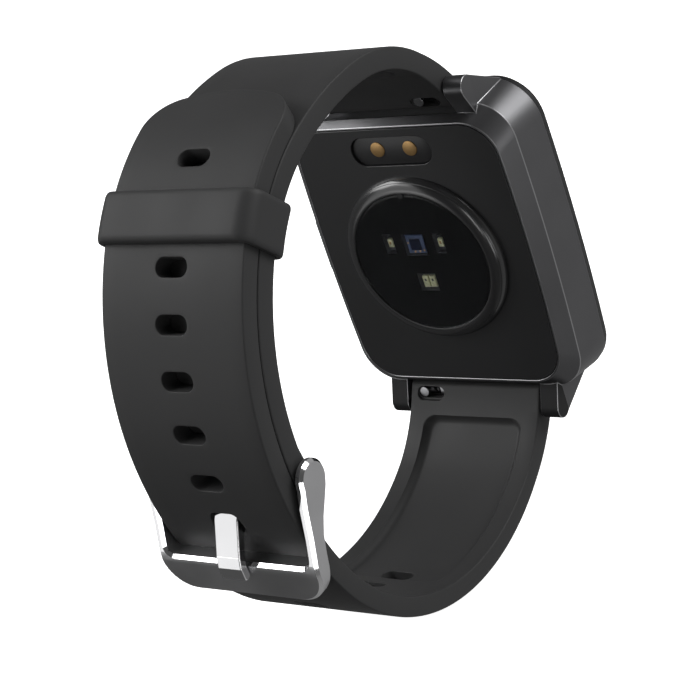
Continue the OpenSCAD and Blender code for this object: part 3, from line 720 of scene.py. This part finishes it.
# Angles round a rounded edge, from the face to the side
RIM_STEPS = (90, 67.5, 45, 22.5, 0)

# The recess in the wrist face, whose wall falls over the width WALL
RECESS_DEPTH = 0.8
RECESS_HALF = 7.6
RECESS_CORNER = 2.0
WALL = 1.0
WALL_POWER = 2.2

HOLE_L = 4.45
HOLE_W = 2.15
HOLE_RIM = 0.1
# Each position hole sits in a cell of rows, and one ring of points lies between its lip and the border
CELL_HALF = 2.2
CELL_ROWS = 6
CELL_RING = 0.4


def edge_ring(s, half_t, sign):
    """Points round one long edge, from the outside face to the wrist face."""
    ring = []
    for side in (1, -1):
        for w in RIM_STEPS[::side]:
            h = side * (1 - EDGE_R * (1 - sind(w)) / half_t)
            ring.append((s, sign * (FLAT + EDGE_R * cosd(w)), h))
    return ring


def recess_at(s, x, low, high):
    """How far into the recess a point lies, from 0 outside to 1 on its floor."""
    centre, half = (low + high) / 2, (high - low) / 2
    q = abs(s - centre) - half + RECESS_CORNER, abs(x) - RECESS_HALF + RECESS_CORNER
    away = math.hypot(max(q[0], 0), max(q[1], 0)) + min(max(q[0], q[1]), 0) - RECESS_CORNER
    return 1 - (1 - min(1, max(0, -away / WALL))) ** WALL_POWER


def hole_point(i, out):
    """Point i of a hole's outline (s, x), moved outward. It matches the cell's border point by point."""
    r, half = HOLE_W / 2, (HOLE_L - HOLE_W) / 2
    quarter = math.pi * r / 4
    long_side, short_side = 2 * quarter + 2 * half, 2 * quarter
    second_half, i = divmod(i, BLOCK_STEPS + CELL_ROWS)
    flip = -1 if second_half else 1
    if i < BLOCK_STEPS:
        run = long_side * i / BLOCK_STEPS
    else:
        run = long_side + short_side * (i - BLOCK_STEPS) / CELL_ROWS
    if run < quarter:
        w, c = 225 + math.degrees(run / r), -half
    elif run < quarter + 2 * half:
        w, c = 270, -half + run - quarter
    else:
        w, c = 270 + math.degrees((run - quarter - 2 * half) / r), half
    return flip * (r + out) * sind(w), flip * (c + (r + out) * cosd(w))


def outer_row(s, cols):
    """Points across the outside face."""
    return [(s, x, 1.0) for x in cols]


class Strap:
    """Builds one strap's closed skin, row by row."""

    def __init__(self, band, recess):
        self.skin = Skin(band)
        self.t = band.half
        self.recess = recess

    def floor(self, s, x, lift=0.0):
        """Height of the wrist face, with an optional lift above it, in units of the half thickness."""
        return -1 + (RECESS_DEPTH * recess_at(s, x, *self.recess) + lift) / self.t

    def wrist_row(self, s, cols):
        """Points across the wrist face."""
        return [(s, x, self.floor(s, x)) for x in cols]

    def edges(self, s0, s1):
        for sign in (-1, 1):
            self.skin.strip(edge_ring(s0, self.t, sign), edge_ring(s1, self.t, sign))

    def stretch(self, rows, wrist_cols=PLAIN):
        """A stretch of band whose columns stay the same."""
        for s0, s1 in zip(rows, rows[1:]):
            self.skin.strip(outer_row(s0, PLAIN), outer_row(s1, PLAIN))
            self.skin.strip(self.wrist_row(s0, wrist_cols), self.wrist_row(s1, wrist_cols))
            self.edges(s0, s1)

    def bridge(self, s0, s1, cols0, cols1):
        """One row between two different sets of columns of the wrist face."""
        self.skin.strip(outer_row(s0, PLAIN), outer_row(s1, PLAIN))
        self.skin.zip(self.wrist_row(s0, cols0), self.wrist_row(s1, cols1))
        self.edges(s0, s1)

    def cap(self, s, wrist_cols=PLAIN):
        """Closes the band's end at s with one face."""
        loop = outer_row(s, PLAIN) + edge_ring(s, self.t, 1)[1:-1]
        loop += self.wrist_row(s, wrist_cols)[::-1] + edge_ring(s, self.t, -1)[::-1][1:-1]
        self.skin.face(*loop)

    def cell(self, centre, right):
        """A stretch of band with one position hole through it."""
        rows = [centre + CELL_HALF * (2 * j / CELL_ROWS - 1) for j in range(CELL_ROWS + 1)]
        for s0, s1 in zip(rows, rows[1:]):
            for cols in (mirrored(RIGHT_PLAIN), RIGHT_PLAIN):
                self.skin.strip(outer_row(s0, cols), outer_row(s1, cols))
            for cols in (mirrored(right), right):
                self.skin.strip(self.wrist_row(s0, cols), self.wrist_row(s1, cols))
            self.edges(s0, s1)
        border = [(rows[0], x) for x in BLOCK_COLS] + [(s, BLOCK) for s in rows[1:]]
        border += [(rows[-1], x) for x in BLOCK_COLS[-2::-1]] + [(s, -BLOCK) for s in rows[-2:0:-1]]
        walls = {}
        for side in (1, -1):
            rings = self.hole_rings(centre, border, side)
            for a, b in zip(rings, rings[1:]):
                self.skin.strip(a + a[:1], b + b[:1])
            walls[side] = rings[0]
        self.skin.strip(walls[1] + walls[1][:1], walls[-1] + walls[-1][:1])

    def hole_rings(self, centre, border, side):
        """Rings from a hole's wall over its lip and out to the cell's border, on one face."""
        rings = []
        for w in RIM_STEPS[::-1]:
            out, drop = HOLE_RIM * (1 - cosd(w)), HOLE_RIM * (1 - sind(w))
            rings.append([self.lip(centre, hole_point(i, out), side, drop) for i in range(len(border))])
        mouth = [hole_point(i, HOLE_RIM) for i in range(len(border))]
        for t in (CELL_RING, 1.0):
            ring = [between((s + centre, x), at, t) for (s, x), at in zip(mouth, border)]
            rings.append([self.lip(0, at, side, 0) for at in ring])
        return rings

    def lip(self, centre, at, side, drop):
        """Point that lies a drop below the outside face, or above the wrist face for side -1."""
        s, x = at[0] + centre, at[1]
        h = 1 - drop / self.t if side == 1 else self.floor(s, x, drop)
        return s, x, h


# The free end: rounded corners and a bowed edge, with points at these angles of the outline
TIP_CORNER = 5.0
TIP_BOW = 22.0
TIP_TURNS = [*range(0, 69, 6), *range(69, 88, 3), 89]


def tip_point(s_end, w, inset):
    """Free end's outline at the normal angle w: a corner arc, then the bowed edge."""
    lean = math.degrees(math.asin((STRAP_HALF - TIP_CORNER) / (TIP_BOW - TIP_CORNER)))
    if w <= 90 - lean:
        r = TIP_CORNER - inset
        back = (TIP_BOW - TIP_CORNER) * cosd(lean) - TIP_BOW
        return s_end + back + r * sind(w), STRAP_HALF - TIP_CORNER + r * cosd(w)
    return s_end - TIP_BOW + (TIP_BOW - inset) * sind(w), (TIP_BOW - inset) * cosd(w)


def strap_tip(strap, s_from, s_end):
    """Rounded free end: rows narrow along the outline, and the rim runs all the way round."""
    skin, t = strap.skin, strap.t

    def row(s, half, h):
        return [(s, x * half / FLAT, h) for x in PLAIN]

    def ring(w, sign):
        points = []
        for side in (1, -1):
            for v in RIM_STEPS[::side]:
                s, x = tip_point(s_end, w, EDGE_R * (1 - cosd(v)))
                points.append((s, sign * x, side * (1 - EDGE_R * (1 - sind(v)) / t)))
        return points

    rows = [(s_from, FLAT)] + [tip_point(s_end, w, EDGE_R) for w in TIP_TURNS]
    for (s0, half0), (s1, half1) in zip(rows, rows[1:]):
        for h in (1.0, -1.0):
            skin.strip(row(s0, half0, h), row(s1, half1, h))
    for sign in (-1, 1):
        rings = [edge_ring(s_from, t, sign)] + [ring(w, sign) for w in TIP_TURNS]
        for a, b in zip(rings, rings[1:]):
            skin.strip(a, b)
    last = ring(TIP_TURNS[-1], 1)
    for x0, x1 in zip(PLAIN, PLAIN[1:]):
        skin.strip([(s, x * x0 / FLAT, h) for s, x, h in last], [(s, x * x1 / FLAT, h) for s, x, h in last])


# Rows over a recess: fine ones over its end walls, wider ones as far as RECESS_NEAR, then its long floor
RECESS_LEAD = 0.6
RECESS_WALL_END = 1.08
RECESS_NEAR = 2.28
FINE_STEP = 0.12
FLOOR_STEP = 0.9


def recess_rows(low, high):
    """Rows over a recess, close together at its two ends."""
    wall_end = low + RECESS_WALL_END
    start = joined(spaced(low - RECESS_LEAD, wall_end, FINE_STEP),
                   spaced(wall_end, low + RECESS_NEAR, 2 * FINE_STEP))
    end = [low + high - s for s in reversed(start)]
    return joined(start, spaced(start[-1], end[0], FLOOR_STEP), end)


# The slot for the release knob, in the knuckle
SLOT_L = 3.9
SLOT_W = 1.6
SLOT_RIM = 0.18
SLOT_SAG = 0.12
SLOT_LEAN = 12
TOP_SLOT_X = -6.6
BOTTOM_SLOT_X = 6.8
# Cutters reach this far past the face that they cut
SLOT_PAST = 1.5
BORE_PAST = 1


def root_cutters(bar, slot_x, lean):
    """Bore for the spring bar, and the knob's slot with a soft mouth."""
    toward, side = (cosd(lean), sind(lean)), (-sind(lean), cosd(lean))

    def level(up, grow):
        return [(slot_x + u, bar[0] + up * toward[0] + v * side[0], bar[1] + up * toward[1] + v * side[1])
                for u, v in stadium(SLOT_L, SLOT_W, grow)]

    mouth = KNUCKLE_R - SLOT_SAG
    levels = [level(0, 0), level(mouth - SLOT_RIM, 0)]
    levels += [level(mouth - SLOT_RIM * (1 - sind(w)), SLOT_RIM * (1 - cosd(w))) for w in (22, 45, 68, 90)]
    levels.append(level(mouth + SLOT_PAST, SLOT_RIM))
    return [cross_bore(bar, BAR_BORE_R), stack(levels)]


def cross_bore(bar, r):
    """Bore through the whole width of a strap."""
    return rod_x(bar, r, -STRAP_HALF - BORE_PAST, STRAP_HALF + BORE_PAST)


# Spacing of rows: round a knuckle, up to it, and along plain band
KNUCKLE_STEP = 0.22
LEAD_STEP = 0.3
PLAIN_STEP = 0.6
# Plain rows beyond a recess's end, and the first row of the root after them
RECESS_MARGIN = 0.9
ROOT_MARGIN = 1.1


def root_rows(band):
    """Rows from the body's end round the knuckle."""
    knuckle = band.body + band.root
    sweep = math.radians(ROOT_SWEEP) * KNUCKLE_R
    return joined(spaced(band.body, knuckle, LEAD_STEP), spaced(knuckle, knuckle + sweep, KNUCKLE_STEP))


# Lengths along the long strap are positive up the tail and negative down to the bottom bar
HOLE_PITCH = 6.05
FIRST_HOLE = -1.76
HOLES_BELOW = 7
HOLES_ABOVE = 6
LONG_RECESS_END = -41.1
RECESS_ROOT_SHARE = 0.65
NEAR_ROOT = 3
LOW_HOLE_STEP = 0.11
TAIL_STEP = 0.7
TIP_LEAD = 0.1


def add_holes(strap, centres):
    """Cells of the position holes with plain band between them. The lowest hole lies in the recess."""
    strap.cell(centres[0], RIGHT_FINE)
    low, high = centres[0] + CELL_HALF, centres[1] - CELL_HALF
    strap.stretch(spaced(low, high - FINE_STEP, LOW_HOLE_STEP), FINE)
    strap.bridge(high - FINE_STEP, high, FINE, PLAIN)
    strap.cell(centres[1], RIGHT_PLAIN)
    for below, centre in zip(centres[1:], centres[2:]):
        strap.stretch(spaced(below + CELL_HALF, centre - CELL_HALF, PLAIN_STEP))
        strap.cell(centre, RIGHT_PLAIN)


def make_long_strap():
    """Hole side: free end, position holes, recess and the bottom bar's knuckle."""
    recess = (-LONG.body - RECESS_ROOT_SHARE * LONG.root, LONG_RECESS_END)
    strap = Strap(LONG, recess)
    centres = [FIRST_HOLE + HOLE_PITCH * k for k in range(-HOLES_BELOW, HOLES_ABOVE + 1)]
    add_holes(strap, centres)
    tip_end = path_length(TAIL_ARCS)
    tip_from = tip_point(tip_end, 0, 0)[0] - TIP_LEAD
    strap.stretch(spaced(centres[-1] + CELL_HALF, tip_from, TAIL_STEP))
    strap_tip(strap, tip_from, tip_end)
    near_root = [s for s in recess_rows(*recess) if s < recess[0] + NEAR_ROOT]
    far_rows = spaced(near_root[-1], centres[0] - CELL_HALF, PLAIN_STEP)
    strap.stretch(joined([recess[0] - RECESS_MARGIN], near_root, far_rows), FINE)
    roots = [-s for s in root_rows(LONG) if -s < recess[0] - ROOT_MARGIN]
    strap.bridge(roots[0], recess[0] - RECESS_MARGIN, DENSE, FINE)
    strap.stretch(roots[::-1], DENSE)
    strap.cap(roots[-1], DENSE)
    thing = strap.skin.solid("long_strap_band", "long_strap")
    cut(thing, root_cutters(BOTTOM_BAR, BOTTOM_SLOT_X, SLOT_LEAN) + [tongue_tunnel()], STRAP_CRISP)
    adopt(thing, "long_strap")


# The tongue lies along this line of (y, z), and its tunnel is wider and a little further out
TONGUE_LINE = ((46.1, -1.4), (49.4, -5.5))
TONGUE_W = 3.4
TUNNEL_W = TONGUE_W + 0.9
TUNNEL_T = 2.05
TUNNEL_OUT = 0.3
TUNNEL_FROM = 0.6
TUNNEL_PAST = 2.2


def tongue_tunnel():
    """Slanted way that the tongue keeps open from the bar to the hole it goes through."""
    (y0, z0), (y1, z1) = TONGUE_LINE
    length = math.hypot(y1 - y0, z1 - z0)
    along = ((y1 - y0) / length, (z1 - z0) / length)
    out = (-along[1], along[0])
    levels = []
    for run in (TUNNEL_FROM, length + TUNNEL_PAST):
        y = y0 + along[0] * run + TUNNEL_OUT * out[0]
        z = z0 + along[1] * run + TUNNEL_OUT * out[1]
        levels.append([(u, y + v * out[0], z + v * out[1]) for u, v in stadium(TUNNEL_W, TUNNEL_T)])
    return stack(levels)


# The gap for the tongue in the short strap's end
FORK_HALF = 1.95
FORK_Y = (44.2, 50)
FORK_Z = (PIVOT[1] - 3, PIVOT[1] + 1.75)
BAR_STEP = 0.25
SHORT_STEP = 0.8


def make_short_strap():
    """Buckle side: the end round the buckle's bar, recess and the top bar's knuckle."""
    start = path_length(SHORT_ARCS[:2])
    recess = (start, SHORT.body)
    strap = Strap(SHORT, recess)
    sweep = math.radians(ROOT_SWEEP) * STRAP_END_R
    drop = SHORT_START[1] - PIVOT[1]
    low_rows = joined(spaced(-drop - sweep, -drop, BAR_STEP), spaced(-drop, 0, PLAIN_STEP),
                      spaced(0, start - RECESS_MARGIN, SHORT_STEP))
    strap.cap(low_rows[0])
    strap.stretch(low_rows)
    rows = recess_rows(*recess)
    strap.bridge(low_rows[-1], rows[0], PLAIN, FINE)
    strap.stretch(joined(rows, [recess[1] + RECESS_MARGIN]), FINE)
    roots = [s for s in root_rows(SHORT) if s > recess[1] + ROOT_MARGIN]
    strap.bridge(recess[1] + RECESS_MARGIN, roots[0], FINE, DENSE)
    strap.stretch(roots, DENSE)
    strap.cap(roots[-1], DENSE)
    thing = strap.skin.solid("short_strap_band", "short_strap")
    corners = ((-1, 0), (1, 0), (1, 1), (-1, 1))
    fork = stack([[(x * FORK_HALF, FORK_Y[i], z) for x, i in corners] for z in FORK_Z])
    cutters = root_cutters(TOP_BAR, TOP_SLOT_X, -SLOT_LEAN) + [fork, cross_bore(PIVOT, BUCKLE_BORE_R)]
    cut(thing, cutters, STRAP_CRISP)
    adopt(thing, "short_strap")


# ---- Keeper ----

KEEPER_CENTRE = joint_axis("keeper_slide")
# Degrees round the keeper's joint at which it begins and ends
KEEPER_FROM = 40.1
KEEPER_TO = 52.1
KEEPER_WALL = 1.25
KEEPER_SIDE = 0.85
KEEPER_GAP = 0.15
KEEPER_CORNER = 2.1
KEEPER_INNER_CORNER = 0.35
# Its two ends are parallel, as wide as its angle is at this height above the short strap's middle
KEEPER_REACH = 4.1
# Rounding of its inner (0) and outer (1) rims: share of the wall that it takes, and its length in mm
KEEPER_RIMS = ((0, 0.14, 0.18), (1, 0.45, 0.6))
FACE_STEPS = 5
SIDE_STEPS = 10
CORNER_STEPS = 8


def rounded_loop(half, low, high, r):
    """Rounded rectangle in (x, radius), anticlockwise."""
    centres = [(half - r, high - r), (-half + r, high - r), (-half + r, low + r), (half - r, low + r)]
    loop = []
    for k, (x, y) in enumerate(centres):
        turns = [90 * k + 90 * i / CORNER_STEPS for i in range(CORNER_STEPS + 1)]
        loop += [(x + r * cosd(w), y + r * sind(w)) for w in turns]
        ahead = centres[(k + 1) % 4]
        side = loop[-1], (ahead[0] + r * cosd(turns[-1]), ahead[1] + r * sind(turns[-1]))
        loop += [between(*side, i / SIDE_STEPS) for i in range(1, SIDE_STEPS)]
    return loop


def keeper_section(radius):
    """Closed section of the band: (angle round the wrist, 0 on the inside to 1 on the outside)."""
    half_angle = math.radians(KEEPER_TO - KEEPER_FROM) / 2
    section = []
    for t, depth, length in KEEPER_RIMS:
        reach = length / radius
        flat = half_angle - reach
        sign = 1 if t == 0 else -1
        turns = range(0, 91, 15)
        corner = [(sign * (flat + reach * sind(w)), abs(t - depth * (1 - cosd(w)))) for w in turns]
        section += [(-a, u) for a, u in reversed(corner)]
        section += [(sign * flat * i / FACE_STEPS, t) for i in range(1 - FACE_STEPS, FACE_STEPS)]
        section += corner
    return section


def make_keeper():
    """Moulded loop round both straps."""
    radius = SHORT_ARCS[1][0]
    low = radius - SHORT_T / 2 - KEEPER_GAP
    high = radius + TAIL_OFFSET + LONG_T / 2 + KEEPER_GAP
    half = STRAP_HALF + KEEPER_GAP
    inner = rounded_loop(half, low, high, KEEPER_INNER_CORNER)
    outer = rounded_loop(half + KEEPER_SIDE, low - KEEPER_WALL, high + KEEPER_WALL, KEEPER_CORNER)
    middle = math.radians((KEEPER_FROM + KEEPER_TO) / 2)
    section = keeper_section(radius)
    points = []
    for (x0, r0), (x1, r1) in zip(inner, outer):
        for a, t in section:
            r = mix(r0, r1, t)
            w = middle + a * (radius + KEEPER_REACH) / r
            y, z = KEEPER_CENTRE[0] + r * math.cos(w), KEEPER_CENTRE[1] + r * math.sin(w)
            points.append((mix(x0, x1, t), y, z))
    n, m = len(inner), len(section)
    faces = []
    for i in range(n):
        a, b = i * m, (i + 1) % n * m
        faces += [[a + j, b + j, b + (j + 1) % m, a + (j + 1) % m] for j in range(m)]
    adopt(piece("keeper_band", "keeper_loop", points, faces, angle=STRAP_CRISP), "keeper_loop")


# ---- Sensor ----

# The ring's radii and heights
RING_BORE_R = 8.9
RING_SKIRT_R = 9.8
RING_BASE_R = 11.58
RING_FOOT = -1.15
RING_SEAT = 0.88
SLOPE_STEP = 3
SLOPE_POWER = 1.15
LIP_R = 9.92
LIP_TOP = 1.38
LIP_BORE_R = 9.76
LIP_ROUNDING = [(9.84, 1.375), (9.78, 1.36), (LIP_BORE_R, 1.3)]
GROOVE_AT = 42
GROOVE_DEPTH = 0.035
# Small tab on the lip
TAB_L = 0.84
TAB_W = 0.8
TAB_Y = (1.25, 1.43)
TAB_INSET = 0.36
RING_CRISP = 30

WINDOW_R = 9.72
WINDOW_EDGE = 1.27
WINDOW_RIM = 1.31
WINDOW_TOP = 1.5
WINDOW_SHARES = (0.96, 0.88, 0.76, 0.64, 0.5, 0.35, 0.2, 0.08)
WINDOW_GAP = 0.03

# The light barrier is a disc with a narrower foot, and has four wells
BARRIER_R = 9.6
BARRIER_FOOT_R = 8.7
BARRIER_TOP = 1.14
BARRIER_OUTLINE = [(0, -0.75), (BARRIER_FOOT_R, -0.75), (BARRIER_FOOT_R, 0.86), (BARRIER_R, 0.9)]
WELL_CUT = (-1, 3)
WELL_FLOOR = 0.45
PAD_T = 1.2
WELLS_WITHIN = 6
WALL_TILT = 0.5
DIODE_AT = (0.3, 2.5)
SIDE_LED_OUT = 3.8
SIDE_LED_Z = 2.7
LOW_LED_AT = (0, -2.9)
# Chips end at CHIP_TOP, and their bodies this much lower
CHIP_TOP = 1.02
CHIP_STEP = 0.1
# Bond pads round the photodiode, and the two lights of the lower pair
DIODE_PADS = ((-1.08, -0.9), (-0.4, -1.06), (0.35, -1.06), (1.06, 0.2))
LOW_LED_OUT = 0.53


def ring_slope(w, drop=0.0):
    """Point on the ring's convex slope, from its foot at 0 degrees to its lip at 90."""
    r = LIP_R + (RING_BASE_R - LIP_R) * cosd(w) ** SLOPE_POWER
    return r - drop * cosd(w), LIP_TOP * sind(w) - drop * sind(w)


def cluster(name, node, parts, finishes=None):
    """One piece from several closed shapes, each given as ((points, faces), finish index)."""
    points, faces, tags = [], [], []
    for (more, more_faces), tag in parts:
        faces += [[i + len(points) for i in face] for face in more_faces]
        tags += [tag] * len(more_faces)
        points += more
    return adopt(piece(name, node, points, faces, finishes, tags=tags), node)


def make_ring():
    """Convex ring with a fine groove and a small tab on its lip."""
    ring = [(RING_BORE_R, RING_FOOT), (RING_SKIRT_R, RING_FOOT), (RING_SKIRT_R, 0.0), (RING_BASE_R, 0.0)]
    ring += [ring_slope(w) for w in range(SLOPE_STEP, GROOVE_AT - 1, SLOPE_STEP)]
    ring += [ring_slope(w, GROOVE_DEPTH) for w in (GROOVE_AT - 1, GROOVE_AT)]
    ring += [ring_slope(w) for w in range(GROOVE_AT + 1, 90, SLOPE_STEP)]
    ring += LIP_ROUNDING + [(LIP_BORE_R, RING_SEAT), (RING_BORE_R, RING_SEAT)]
    thing = piece("sensor_ring_turned", "sensor_ring", *turned(ring), angle=RING_CRISP)
    tab = [[(u, y, LIP_R - TAB_INSET + v) for u, v in stadium(TAB_L, TAB_W)] for y in TAB_Y]
    adopt(cut(thing, [stack(tab)], RING_CRISP, "UNION"), "sensor_ring")


def make_window():
    """Thin domed window inside the lip."""
    foot = BARRIER_TOP + WINDOW_GAP
    dome = [(0, foot), (WINDOW_R, foot), (WINDOW_R, WINDOW_EDGE), (WINDOW_R - 0.06, WINDOW_RIM)]
    dome += [(WINDOW_R * c, WINDOW_TOP - (WINDOW_TOP - WINDOW_RIM) * c * c) for c in WINDOW_SHARES]
    dome += [(0, WINDOW_TOP)]
    adopt(piece("sensor_window_dome", "sensor_window", *turned(dome), angle=35), "sensor_window")


def make_barrier():
    """Black disc under the window, with grey walls in its four wells."""
    disc = BARRIER_OUTLINE + [(BARRIER_R, BARRIER_TOP), (0, BARRIER_TOP)]
    barrier = piece("light_mask", "light_barrier", *turned(disc), angle=RING_CRISP)
    wells = [(*DIODE_AT, 1.6, 1.5), (*LOW_LED_AT, 1.35, 1.25)]
    wells += [(DIODE_AT[0] + side * SIDE_LED_OUT, SIDE_LED_Z, 0.72, 1.4) for side in (-1, 1)]
    cut(barrier, [block(*well, *WELL_CUT) for well in wells])
    barrier.data.materials.append(finish("well_grey"))
    repaint(barrier, 1, lambda face: abs(face.normal.y) < WALL_TILT
            and math.hypot(face.center.x, face.center.z) < WELLS_WITHIN * MM)
    adopt(barrier, "light_barrier")


def make_lights():
    """Photodiode, two side lights and the lower pair, each on a pad in its well."""
    grey, black, gold = finish("well_grey"), finish("chip_black"), finish("contact_gold")
    foot, floor, body, top = WELL_FLOOR - PAD_T, WELL_FLOOR, CHIP_TOP - CHIP_STEP, CHIP_TOP
    x, z = DIODE_AT
    parts = [(block(x, z, 1.5, 1.4, foot, floor), 1), (block(x, z, 1.32, 1.3, floor, body), 0)]
    parts += [(block(x, z, 0.78, 0.82, body, top), 2)]
    parts += [(block(x + u, z + v, 0.1, 0.12, body, top - 0.02), 3) for u, v in DIODE_PADS]
    cluster("photodiode_die", "photodiode", parts, [finish("diode_glass"), grey, finish("diode_die"), gold])
    parts, z = [], SIDE_LED_Z
    for side in (-1, 1):
        x = DIODE_AT[0] + side * SIDE_LED_OUT
        parts += [(block(x, z, 0.6, 1.3, foot, floor), 1), (block(x, z - 0.06, 0.36, 0.56, floor, body), 0)]
        parts += [(block(x, z, 0.14, 0.2, body, top - 0.04), 2)]
        parts += [(block(x, z + 0.86, 0.3, 0.2, floor, top - 0.25), 3)]
    cluster("side_leds", "green_leds", parts, [finish("led_lens"), grey, gold, black])
    parts = [(block(*LOW_LED_AT, 1.25, 1.2, foot, floor), 1)]
    for side in (-1, 1):
        x, z = LOW_LED_AT[0] + side * LOW_LED_OUT, LOW_LED_AT[1] - 0.08
        parts += [(block(x, z, 0.42, 0.78, floor, body), 0)]
        parts += [(block(x, z + 0.26, 0.13, 0.16, body, top - 0.04), 2)]
    cluster("low_leds", "red_ir_led", parts, [finish("led_lens"), grey, black])


# ---- Charging pill ----

PILL_AT = (0.3, 15.1)
PILL_L = 11.85
PILL_H = 3.85
PILL_FOOT = -1.0
PILL_TOP = -0.35
# How far each level of the pill's chamfer lies below the top, and how far it is drawn in
PILL_CHAMFER = ((0.07, 0), (0.02, -0.03), (0, -0.08))
CONTACT_X = 2.42
CONTACT_Z = 15.28
CONTACT_R = 1.02
CONTACT_FOOT = -1.3
CONTACT_TOP = -0.22
CONTACT_EDGE = ((0, 0.07), (0.03, 0.02), (0.1, 0))


def make_pill():
    """Flat insert with a fine chamfer, and two round contacts that stand just above it."""
    levels = [(PILL_FOOT, 0)] + [(PILL_TOP - below, grow) for below, grow in PILL_CHAMFER]
    outline = [[(PILL_AT[0] + u, y, PILL_AT[1] + v) for u, v in stadium(PILL_L, PILL_H, grow, 20)]
               for y, grow in levels]
    adopt(piece("charge_pill", "charge_insert", *stack(outline), angle=50), "charge_insert")
    profile = [(0, CONTACT_FOOT), (CONTACT_R, CONTACT_FOOT)]
    profile += [(CONTACT_R - inset, CONTACT_TOP - below) for inset, below in CONTACT_EDGE]
    profile += [(0, CONTACT_TOP)]
    discs = [(turned(profile, (side * CONTACT_X, CONTACT_Z), 48), 0) for side in (-1, 1)]
    cluster("charge_discs", "charge_contacts", discs)


# ---- Case ----

# Lower lug faces, which get a darker finish as painted shade, lie below the first height and on the wrist side of
# the second
LUG_BELOW = -19.4
LUG_ABOVE = -0.75


def make_case():
    """Frame with a lighter finish on its chamfers as a painted highlight and a darker one on its lower lugs as
    painted shade, its cover, bezel, glass and button.
    """
    case_black, chamfer, lug_shade_finish = finish("case_finish"), finish("case_chamfer_painted_highlight"), finish("lower_lug_painted_shade")
    # The rounded edges get the lighter finish, a painted highlight
    shell = refined("mid_frame", 0.08, 2, 24, [case_black, chamfer], angle=24)
    # The lower lug faces get the darker finish as painted shade
    shell.data.materials.append(lug_shade_finish)
    repaint(shell, 2, lambda face: face.center.z / MM < LUG_BELOW and face.center.y / MM > LUG_ABOVE
            and face.material_index == 0)
    refined("back_cover", 0.07, 2, 40)
    refined("front_bezel", 0.05, 1, 40)
    refined("cover_glass", 0)
    refined("side_button", 0.25, 3, 40)


# ---- Buckle and release pins ----

EAR_R = 2.35
BUCKLE_HALF = 11.45
BUCKLE_INNER = 10.25
BUCKLE_LOW = -15.2
BUCKLE_CORNER = 4.0
BUCKLE_BEVEL = 0.36
OPENING_LOW = -10.3
OPENING_CORNER = 1.1
# The side view below the ear: down the wrist side of the arm, then up its outside
ARM_BACK = [(44.35, -3.2), (45.35, -4.55), (46.5, -6.1), (47.4, -7.75), (47.95, -9.6), (48.5, -12)]
ARM_FRONT = [(50.85, -11.0), (50.72, -9.9), (50.3, -8.4), (49.9, -7.0), (49.55, -5.4), (49.1, -3.4)]
CROSSBAR_FOOT = [(48.9, BUCKLE_LOW), (50.5, BUCKLE_LOW)]
# Faces of the arms that look outward more than this are polished
ARM_FRONT_TILT = 0.75
ARM_ABOVE = OPENING_LOW + 0.9
# The frame's two cutters reach over this range of y, and up to this height
CUT_Y = (40, 60)
CUT_TOP = 12
BEND_STEPS = 10

# A release pin's faces that are further than this from its bar are the knob's
KNOB_FROM = 1.15
KNOB_DOME = 0.12
KNOB_CRISP = 60


def rounded_rect(half, low, high, r):
    """Outline in (x, z) of a rectangle that is rounded at its lower corners."""
    turns = [90 * i / BEND_STEPS for i in range(BEND_STEPS + 1)]
    left = [(-half + r - r * sind(w), low + r - r * cosd(w)) for w in turns]
    return left + [(-half, high), (half, high)] + [(-x, z) for x, z in reversed(left)]


def make_frame(satin, polished):
    """Round ears at the bar, tapering arms and the crossbar, with polished chamfers and arm fronts."""
    ear = [(PIVOT[0] + EAR_R * cosd(w), PIVOT[1] + EAR_R * sind(w)) for w in range(0, 205, 8)]
    side_view = extruded_x(ear + ARM_BACK + CROSSBAR_FOOT + ARM_FRONT, -BUCKLE_HALF, BUCKLE_HALF)
    thing = piece("buckle_frame_forged", "buckle_frame", *side_view, finishes=[satin, polished])
    opening = rounded_rect(BUCKLE_INNER, OPENING_LOW, CUT_TOP, OPENING_CORNER)
    plan = rounded_rect(BUCKLE_HALF, BUCKLE_LOW, CUT_TOP, BUCKLE_CORNER)
    cut(thing, [extruded_y(opening, *CUT_Y)])
    cut(thing, [extruded_y(plan, *CUT_Y)], operation="INTERSECT")
    merge_flat(thing.data, SAME_CUT)
    add_bevel(thing, BUCKLE_BEVEL, 1, 30, material=1)
    applied(thing)
    shade(thing.data)
    repaint(thing, 1, lambda face: face.center.z / MM > ARM_ABOVE and face.normal.y > ARM_FRONT_TILT)
    adopt(thing, "buckle_frame")


def make_release_pin(node, bar):
    """Release pin whose knob has a domed, brighter head."""
    # The pin's darkened steel paints the shade inside the knob's slot
    pin = refined(node, 0.2, 4, 40, [finish("pin_steel")], clamp=True, even=False)

    def from_bar(point):
        return math.hypot(point.y / MM - bar[0], point.z / MM - bar[1])

    with editing(pin.data) as work:
        head = max(work.faces, key=lambda face: from_bar(face.calc_center_median()))
        bmesh.ops.poke(work, faces=[head], offset=KNOB_DOME * MM)
    shade(pin.data, KNOB_CRISP)
    pin.data.materials.append(finish("knob_steel"))
    repaint(pin, 1, lambda face: from_bar(face.center) > KNOB_FROM)


def make_buckle():
    """Satin frame with its polished tongue."""
    polished = finish("polished_steel")
    make_frame(finish("satin_steel"), polished)
    refined("buckle_tongue", 0.16, 3, 40, [polished])


# ---- The whole watch ----

def dress_nodes():
    """Every CAD solid gets its slot's finish, also the ones that new pieces stand for."""
    for node, thing in NODES.items():
        thing.data.materials.clear()
        thing.data.materials.append(finish(SLOT_OF[node]))


dress_nodes()
make_long_strap()
make_short_strap()
make_keeper()
make_ring()
make_window()
make_barrier()
make_lights()
make_pill()
make_case()
make_buckle()
make_release_pin("top_bar_release_pin", TOP_BAR)
make_release_pin("bottom_bar_release_pin", BOTTOM_BAR)
make_camera()
make_studio()
